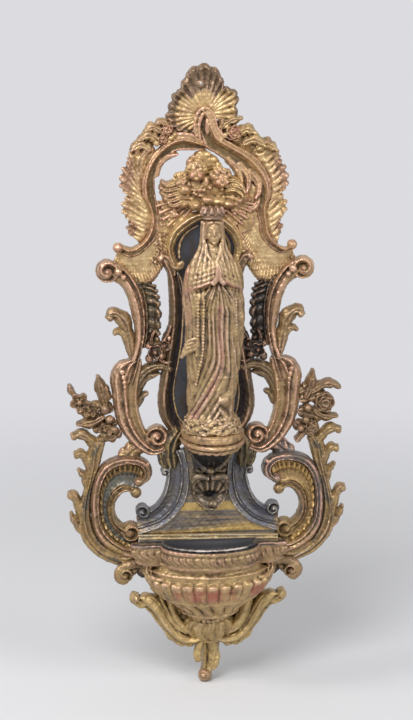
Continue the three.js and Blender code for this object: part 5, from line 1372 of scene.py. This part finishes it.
def rim_plan(spread, count=260):
    """Front line of the rim from the left ear round to the right one, as x and depth."""
    arc = [(28 * math.sin(t) * spread, 19.5 + 20 * math.cos(t) * spread) for t in np.linspace(0, 0.5 * math.pi, 12)]
    ear = [(33.5 * spread, 19.2), (39 * spread, 19.0), (43 * spread, 17.4), (44.5 * spread, 14.6), (43.8 * spread, 11)]
    half = arc + ear
    return spline([(-x, d) for x, d in half[:0:-1]] + half, count)


def seat_plan(count=260):
    """Inner line of the rim along the liner's seat."""
    x, depth = half_round(25.4, 34.9, 12.9, 60)
    return spline(np.stack([x, depth], axis=-1)[::-1], count)


rim_profile = [
    (-0.02, 0.985), (0.05, 1.0), (0.13, 1.005), (0.18, 0.975), (0.23, 0.965), (0.32, 0.985), (0.48, 0.98), (0.62, 0.955), (0.74, 0.93),
    (0.8, 0.945), (0.88, 0.94), (0.94, 0.91), (1, 0.87),
]
leaf_pitch = 4.4
seat = seat_plan()
front_line = rim_plan(1.0)
rim_length = np.concatenate([[0], np.cumsum(np.linalg.norm(np.diff(front_line, axis=0), axis=1))])
ear = soft(np.abs(front_line[:, 0]) - 27, 2)
rim_section = [level(*rim_plan(0.955).T, rim_top)]
rim_dark = [np.ones(len(seat))]
for drop in np.linspace(-0.02, 1, 44):
    plan = rim_plan(np.interp(drop, [stop[0] for stop in rim_profile], [stop[1] for stop in rim_profile]))
    stroke = np.abs(np.sin(math.pi * (rim_length / leaf_pitch + 0.8 * math.sin(4.5 * drop))))
    vein = np.abs(np.sin(2 * math.pi * (rim_length / leaf_pitch - 0.7 * drop)))
    leafy = (1.0 * stroke + 0.5 * vein - 0.8) * math.sin(math.pi * np.clip((drop - 0.17) / 0.56, 0, 1)) ** 0.6
    heading = np.gradient(plan, axis=0)
    heading /= np.linalg.norm(heading, axis=1)[:, None]
    plan = plan + leafy[:, None] * np.stack([-heading[:, 1], heading[:, 0]], axis=-1)
    rim_section.append(level(plan[:, 0], plan[:, 1], rim_top - rim_height * drop))
    rim_dark.append(np.maximum(1.0 * (drop < 0), 0.8 * ear * (drop < 0.14)))
rim_section.append(level(seat[:, 0], seat[:, 1], rim_top - rim_height))
rim_section.append(level(seat[:, 0], seat[:, 1], rim_top))
rim_dark += [np.ones(len(seat)), np.ones(len(seat))]
rim_shapes = [skin(np.stack(rim_section, axis=1), np.stack(rim_dark, axis=1))]
for side in (-1, 1):
    rim_shapes.append(leaf(side, [(44, -106), (39, -108.6), (33, -110), (28, -110.4)], [1.6, 2.6, 2.8, 1.6], 19.6, lobes=3.5, back=12))
cast("rim", rim_shapes, rim_metal, "gilt", "basin_rim", voxel=0.4, eased=1)

# Bowl: the half-round gilt body, with a plain hollow neck, a belly of gadroons rubbed to red metal
# and a stepped foot. Its inside is open for the liner's cup.

bowl_metal = worn_metal(
    "bowl_gilt", ink(188, 158, 110), ink(152, 124, 84), ink(214, 176, 142), ink(54, 42, 31), stain_and_painted_light=ink(166, 100, 80), wear_and_highlight=0.6, grime_and_shade=0.9,
)
bowl_top = -112.7
bowl_height = 32.0
bowl_profile = [
    (0, 0.86), (0.07, 0.845), (0.12, 0.86), (0.15, 0.91), (0.17, 0.93), (0.2, 0.915), (0.24, 0.92), (0.3, 0.93), (0.4, 0.93), (0.48, 0.91),
    (0.56, 0.865), (0.62, 0.81), (0.65, 0.775), (0.67, 0.79), (0.69, 0.76), (0.74, 0.66), (0.8, 0.57), (0.86, 0.51), (0.92, 0.475),
    (0.945, 0.49), (0.97, 0.47), (1.0, 0.4),
]
gadroons = 15
bowl_rings = []
bowl_marks = []
drops = np.linspace(0, 1, 90)
sizes = np.interp(drops, [stop[0] for stop in bowl_profile], [stop[1] for stop in bowl_profile])
for drop, size in zip(drops[::-1], sizes[::-1]):
    x, depth = half_round(36.5 * size, 37 * (0.5 + size / 2), 0.0, 420)
    turn = (np.linspace(0, gadroons, len(x)) % 1) * 2 - 1
    arched = 0.25 + 0.1 * (1 - np.sqrt(np.clip(1 - turn**2, 0, 1)))
    inside = np.clip((drop - arched) / 0.05, 0, 1) * np.clip((0.66 - drop) / 0.06, 0, 1)
    egg = 0.06 * math.exp(-(((drop - 0.33) / 0.09) ** 2)) + 0.05
    swell = inside * (egg * np.clip(1.02 - turn**2, 0, 1) ** 0.6 - 0.03)
    wave = np.abs(np.sin(0.5 * math.pi * 1.2 * gadroons * np.linspace(0, 1, len(x)) + 6 * drop))
    tongue = 0.12 * (wave - 0.5) * math.sin(math.pi * np.clip((drop - 0.68) / 0.25, 0, 1))
    bowl_rings.append(level(x * (1 + swell + tongue), depth * (1 + swell + tongue), bowl_top - bowl_height * drop))
    patchy = np.exp(-(((x + 3) / 22) ** 2)) * (0.66 + 0.14 * np.sin(0.62 * x + 1)) + 0.5 * (np.abs(x - 27) < 5)
    bowl_marks.append(inside * soft(drop - 0.34, 0.12) * patchy)
for drop, size in [(0, 0.72), (0.1, 0.7), (0.26, 0.62)]:
    x, depth = half_round(36.5 * size, 13 + 24 * size, 12.6, 420)
    bowl_rings.append(level(x, depth, bowl_top - bowl_height * drop))
    bowl_marks.append(np.zeros(len(x)))
bowl_shapes = [skin(bowl_rings, np.array(bowl_marks))]
for side in (-1, 1):
    corner = [(33.6, -113), (34.4, -117), (33, -121)]
    bowl_shapes.append(leaf(side, corner, [4, 4.4, 2.6], 19.6, lobes=2.5, notch=0.2))
    bowl_shapes.append(tube(side, [(36, 14, -120), (31, 21, -121.6), (27, 25, -121)], [1.4, 1.6, 0.8]))
cast("bowl", bowl_shapes, bowl_metal, "gilt", "basin_bowl", voxel=0.38, eased=1)

# Liner: a thin cup of dark tarnished sheet metal that drops into the rim and lifts out for cleaning.
# Its flat flange ends in a rolled front edge, painted pale along the front as metal rubbed bright and as a painted
# highlight.

# Its stain colour is the pale front of the lip: rubbed metal and a painted highlight.
liner_metal = worn_metal(
    "liner_tarnish", ink(70, 72, 79), ink(90, 85, 80), ink(104, 100, 96), ink(40, 40, 44), stain_and_painted_light=ink(206, 194, 184), wear_and_highlight=0.5, grime_and_shade=0.3,
    sheen=0.34,
)
liner_levels = [(0.5, -119.6), (0.75, -117.4), (0.93, -112.3), (0.985, -105), (0.99, -103)]
liner_rings = []
liner_rub_and_highlight = []
for size, z in liner_levels:
    reach = 10.6 * (0.5 + size / 2)
    x, depth = half_round(25 * size, 23.9 + reach, 23.9 - reach, 120)
    liner_rings.append(level(x, depth, z))
    liner_rub_and_highlight.append(np.zeros(len(x)))
for grow, z in [(1.7, -102.65), (2.0, -102.5), (2.15, -102.1), (2.0, -101.7), (1.6, -101.5), (0.5, -101.5), (-0.6, -101.9), (-1.0, -103)]:
    x, depth = half_round(25 + grow, 34.5 + grow, 13.3 - grow, 120)
    liner_rings.append(level(x, depth, z))
    liner_rub_and_highlight.append(0.8 * np.clip((depth - 27) / 6, 0, 1) * (grow > 0))
for size, z in [(0.98, -105), (0.925, -112), (0.74, -116.6), (0.48, -118.7)]:
    reach = 10.6 * (0.5 + size / 2) - 0.9
    x, depth = half_round(25 * size - 0.9, 23.9 + reach, 23.9 - reach, 120)
    liner_rings.append(level(x, depth, z))
    liner_rub_and_highlight.append(np.zeros(len(x)))
cast("liner_cup", [skin(liner_rings, np.array(liner_rub_and_highlight))], liner_metal, "liner", "basin_liner", voxel=0)

# Brackets: short scrolled gilt arms that join the bowl's sides to the feet of the C-scrolls.
# Where they meet the bowl a ball is painted near black as the shade between bracket and bowl.

# Its stain colour is near black: painted shade where the bracket meets the bowl.
bracket_metal = worn_metal(
    "bracket_gilt", ink(164, 137, 96), ink(124, 101, 70), ink(198, 160, 132), soot_and_shade, stain_and_painted_light=ink(34, 29, 25), wear_and_highlight=0.5, grime_and_shade=0.7,
)
for name, side in sides:
    arm = [(33, 5, -117), (38, 5.4, -116.6), (44, 6, -117), (49, 6.4, -119), (51, 6.4, -122.6), (49, 6.4, -125.8), (46, 6, -125)]
    shapes = [
        tube(side, arm, [3, 2.6, 2.8, 3, 2.9, 2.6, 2.2]),
        # Painted shade: this ball is near black where the arm meets the bowl.
        ball(side, (37, 4.4, -119.6), (4.2, 4.4, 5.4), stain_and_painted_light=1.0),
        leaf(side, [(35, -118), (40, -119), (45, -121), (48, -124)], [3, 4.4, 4.4, 2], 7.6, lobes=3),
        leaf(side, [(40, -117), (45, -117.4), (50, -120.6)], [1.6, 2.6, 1.6], 9.8, lobes=3),
        volute(side, (47, -122.4), 4.2, 10, turns=1.2),
    ]
    cast(f"bracket_{name}", shapes, bracket_metal, "gilt", f"basin_bracket_{name}", voxel=0.36)

# Base: two gilt acanthus straps that hug the bowl from below, a boss between them and a pendant leaf
# whose tip rolls round a ball.

base_metal = worn_metal(
    "base_gilt", ink(190, 163, 111), ink(156, 129, 84), ink(212, 180, 138), ink(46, 36, 27), stain_and_painted_light=ink(134, 102, 78), wear_and_highlight=0.5, grime_and_shade=0.9,
)
base_outer = [(42, -137), (40, -140.6), (34.4, -145), (29.6, -152), (23.4, -159.4), (18, -164), (10, -165), (4, -163)]
base_inner = [(35.6, -134.6), (30, -136.4), (25.4, -142.6), (21.4, -150), (17, -156), (12, -158.6), (8, -159.2), (4, -158)]
base_face = [(0, 0.42), (0.08, 0.6), (0.15, 0.55), (0.5, 0.96), (0.8, 0.92), (0.88, 0.8), (0.94, 0.86), (1, 0.5)]
strap_line = [(24, 4, -133), (21.6, 6, -141), (19, 8, -148), (15, 10, -153.4), (10, 11, -156.6)]
strap_size = {"left": [1.8, 2, 2.1, 2, 1.4], "right": [3, 3.6, 3.6, 3, 1.6]}
for name, side in sides:
    shapes = [
        strip(
            side, base_outer, base_inner,
            lambda u, v: 13 * moulding(v, base_face) * (0.66 + 0.34 * np.sin(math.pi * np.clip(u, 0, 0.75) / 1.5)), along=170, across=34,
        ),
        strip(
            side, [(33, -132), (28, -138), (24, -144), (20, -152), (13, -159)], [(22, -128), (16, -131), (13, -138), (10.6, -146), (6, -153)],
            lambda u, v: 3.4 + 0.8 * flutes(u + 0.1 * v, 5), along=90, across=16,
        ),
        tube(side, strap_line, strap_size[name]),
        leaf(side, [(36, -142), (39, -140), (42, -137.4), (41.4, -135)], [2.4, 3, 2.6, 1.6], 9, lobes=0),
        leaf(side, [(24.6, -157.4), (19, -162.4), (12, -164.4), (7, -162.6)], [1.8, 2.6, 2.6, 1.4], 10, lobes=3.5),
        ball(side, (41, 7, -136.8), (1.8, 2.6, 1.8)),
    ]
    if name == "left":
        shapes.append(tube(side, [(28, 4, -135), (25.4, 7, -141), (22, 9, -148), (18, 10.4, -153.6), (13, 11, -157)], [0.9, 1, 1, 1, 0.8]))
    cast(f"base_acanthus_{name}_casting", shapes, base_metal, "gilt", f"base_acanthus_{name}", voxel=0.4)
boss_levels = np.array([
    (0, 11.6, 19), (0.1, 12.4, 19.6), (0.18, 12.6, 18.4), (0.4, 15, 17.4), (0.6, 15, 15.6), (0.8, 12.6, 13.4), (1, 8, 11),
])
boss_rings = []
for drop in np.linspace(0, 1, 44):
    half, front = (np.interp(drop, boss_levels[:, 0], boss_levels[:, column]) for column in (1, 2))
    x, depth = half_round(half, front, 0, 260)
    u = np.linspace(0, 1, len(x))
    ribs = flutes(u + 0.02 * math.sin(9 * drop), 7)
    veins = flutes(u - 0.05 * drop, 21)
    tongues = soft(drop - 0.2, 0.06) * soft(0.9 - drop - 0.3 * (1 - ribs), 0.08)
    carved = 1 + tongues * (0.07 * ribs + 0.015 * veins)
    boss_rings.append(level(x * carved, depth * carved, -145.2 - 18 * drop))
boss = [skin(boss_rings)]
for x in (-9, -6.4, -3.8, -1.2, 1.4, 4, 6.6, 9):
    boss.append(ball(1, (x, 19.4 - 0.07 * x * x, -147.4 + 0.015 * x * x), (1.3, 1.5, 1.4)))
cast("base_boss_casting", boss, base_metal, "gilt", "base_boss", voxel=0.38)

pendant = [
    strip(
        1, [(6, -160), (6, -168), (4.8, -176), (1.4, -182.4)], [(-4.6, -160), (-4.2, -168), (-3.8, -176), (-4.8, -182.4)],
        lambda u, v: 10.6 * moulding(v, [(0, 0.5), (0.3, 0.96), (0.6, 0.86), (0.7, 0.68), (0.84, 0.86), (1, 0.5)]) * (1 - 0.12 * u),
    ),
    tube(1, [(-4, 8, -161), (-6.4, 9, -166), (-7, 9.4, -171), (-6.4, 9, -174.4)], [2, 2.3, 2.4, 1.7]),
    leaf(1, [(3.4, -168), (4.4, -174), (2, -180)], [1.8, 2.4, 1], 10, lobes=2, back=3),
    ball(1, (-2.6, 7.2, -182.8), (4, 4.4, 4), stain_and_painted_light=1.0),
    ball(1, (-3.8, 11.2, -182), (1.2, 1, 1.2), stain_and_painted_light=1.0),
]
cast("pendant", pendant, base_metal, "gilt", "pendant_leaf", voxel=0.36)

# Fixings: the screws behind the basin and the socle and the figure's stud, plain turned steel.

steel = worn_metal("fixing_steel", ink(122, 122, 126), ink(98, 98, 102), ink(170, 170, 172), ink(60, 56, 52), wear_and_highlight=0.3, grime_and_shade=0.3, metal=0.9)
for name in ("basin_screw_left", "basin_screw_right", "socle_screw", "figure_stud"):
    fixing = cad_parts[name]
    fixing.data.materials.clear()
    fixing.data.materials.append(steel)

# Studio: a pale sheet of paper, on which the stoup stands on the tip of its pendant leaf. The sheet fades
# into a pale surround. One broad lamp hangs above and in front, with weaker ones at both sides.

floor_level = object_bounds()[0].z
sheet_reach = 2.4
sheet_mesh = bpy.data.meshes.new("paper_sheet")
corners = [(-1, -1), (1, -1), (1, 1), (-1, 1)]
sheet_mesh.from_pydata([(x * sheet_reach, y * sheet_reach, floor_level) for x, y in corners], [], [(0, 1, 2, 3)])
sheet = bpy.data.objects.new("paper_sheet", sheet_mesh)
bpy.context.collection.objects.link(sheet)
paper = bpy.data.materials.new("pale_paper")
paper.use_nodes = True
paper.node_tree.nodes.clear()
paper_nodes = Shade(paper.node_tree)
grain = paper_nodes.node("ShaderNodeTexCoord", {}, "Object")
fibre = paper_nodes.node("ShaderNodeTexNoise", {"Vector": grain, "Scale": 3.0, "Detail": 2.0}, "Fac")
tint = paper_nodes.node("ShaderNodeMix", {0: fibre, 6: ink(211, 211, 212), 7: ink(215, 215, 216)}, 2, data_type="RGBA")
matt = paper_nodes.node("ShaderNodeBsdfPrincipled", {"Base Color": tint, "Roughness": 0.9})
from_middle = paper_nodes.node("ShaderNodeVectorMath", {0: grain}, "Value", operation="LENGTH")
fade = paper_nodes.node(
    "ShaderNodeMapRange", {"Value": from_middle, "From Min": 0.22, "From Max": 0.85}, interpolation_type="SMOOTHSTEP",
)
clear = paper_nodes.node("ShaderNodeBsdfTransparent", {})
faded = paper_nodes.node("ShaderNodeMixShader", {0: fade, 1: matt, 2: clear})
paper_nodes.node("ShaderNodeOutputMaterial", {"Surface": faded})
sheet_mesh.materials.append(paper)

scene = bpy.context.scene
world = bpy.data.worlds.new("studio")
scene.world = world
world.use_nodes = True
world.node_tree.nodes.clear()
sky = Shade(world.node_tree)
seen = (
    sky.node("ShaderNodeLightPath", {}, "Is Camera Ray") + sky.node("ShaderNodeLightPath", {}, "Is Glossy Ray")
    + sky.node("ShaderNodeLightPath", {}, "Is Transmission Ray")
)
glow = sky.node("ShaderNodeBackground", {"Color": (0.95, 0.96, 1.0, 1.0), "Strength": 0.42})
surround = sky.node("ShaderNodeBackground", {"Color": ink(220, 220, 224), "Strength": 1.0})
sky.node("ShaderNodeOutputWorld", {"Surface": sky.node("ShaderNodeMixShader", {0: seen, 1: glow, 2: surround})})


def lamp(name, place, target, size, power):
    light = bpy.data.lights.new(name, "AREA")
    light.shape = "DISK"
    light.size = size
    light.energy = power
    made = bpy.data.objects.new(name, light)
    bpy.context.collection.objects.link(made)
    made.location = place
    heading = np.array(target) - np.array(place)
    made.rotation_mode = "QUATERNION"
    made.rotation_quaternion = Vector(heading).to_track_quat("-Z", "Y")


lamp("key", (-0.4, -1.0, 1.0), (0, 0, 0), 0.8, 16.5)
lamp("fill", (1.0, -0.8, 0.5), (0, 0, 0), 0.6, 5)
lamp("rim", (-0.9, -0.2, 0.7), (0, 0, 0), 0.4, 4)

azimuth = math.radians(-4.8)
elevation = math.radians(10.5)
roll = math.radians(-0.5)
distance = 1.15
aim = np.array([-0.0003, -0.010, 0.0005])
toward = np.array([
    math.sin(azimuth) * math.cos(elevation), -math.cos(azimuth) * math.cos(elevation), math.sin(elevation),
])
right = np.cross(-toward, (0, 0, 1))
right /= np.linalg.norm(right)
up = np.cross(right, -toward)
tilted_right = right * math.cos(roll) + up * math.sin(roll)
tilted_up = up * math.cos(roll) - right * math.sin(roll)
camera_data = bpy.data.cameras.new("camera")
camera_data.sensor_fit = "VERTICAL"
camera_data.sensor_height = 36
camera_data.lens = 36 * 2072 / 720
camera = bpy.data.objects.new("camera", camera_data)
bpy.context.collection.objects.link(camera)
pose = Matrix.Identity(4)
for row in range(3):
    pose[row][0] = tilted_right[row]
    pose[row][1] = tilted_up[row]
    pose[row][2] = toward[row]
    pose[row][3] = aim[row] + distance * toward[row]
camera.matrix_world = pose
scene.camera = camera
scene.view_settings.view_transform = "Standard"
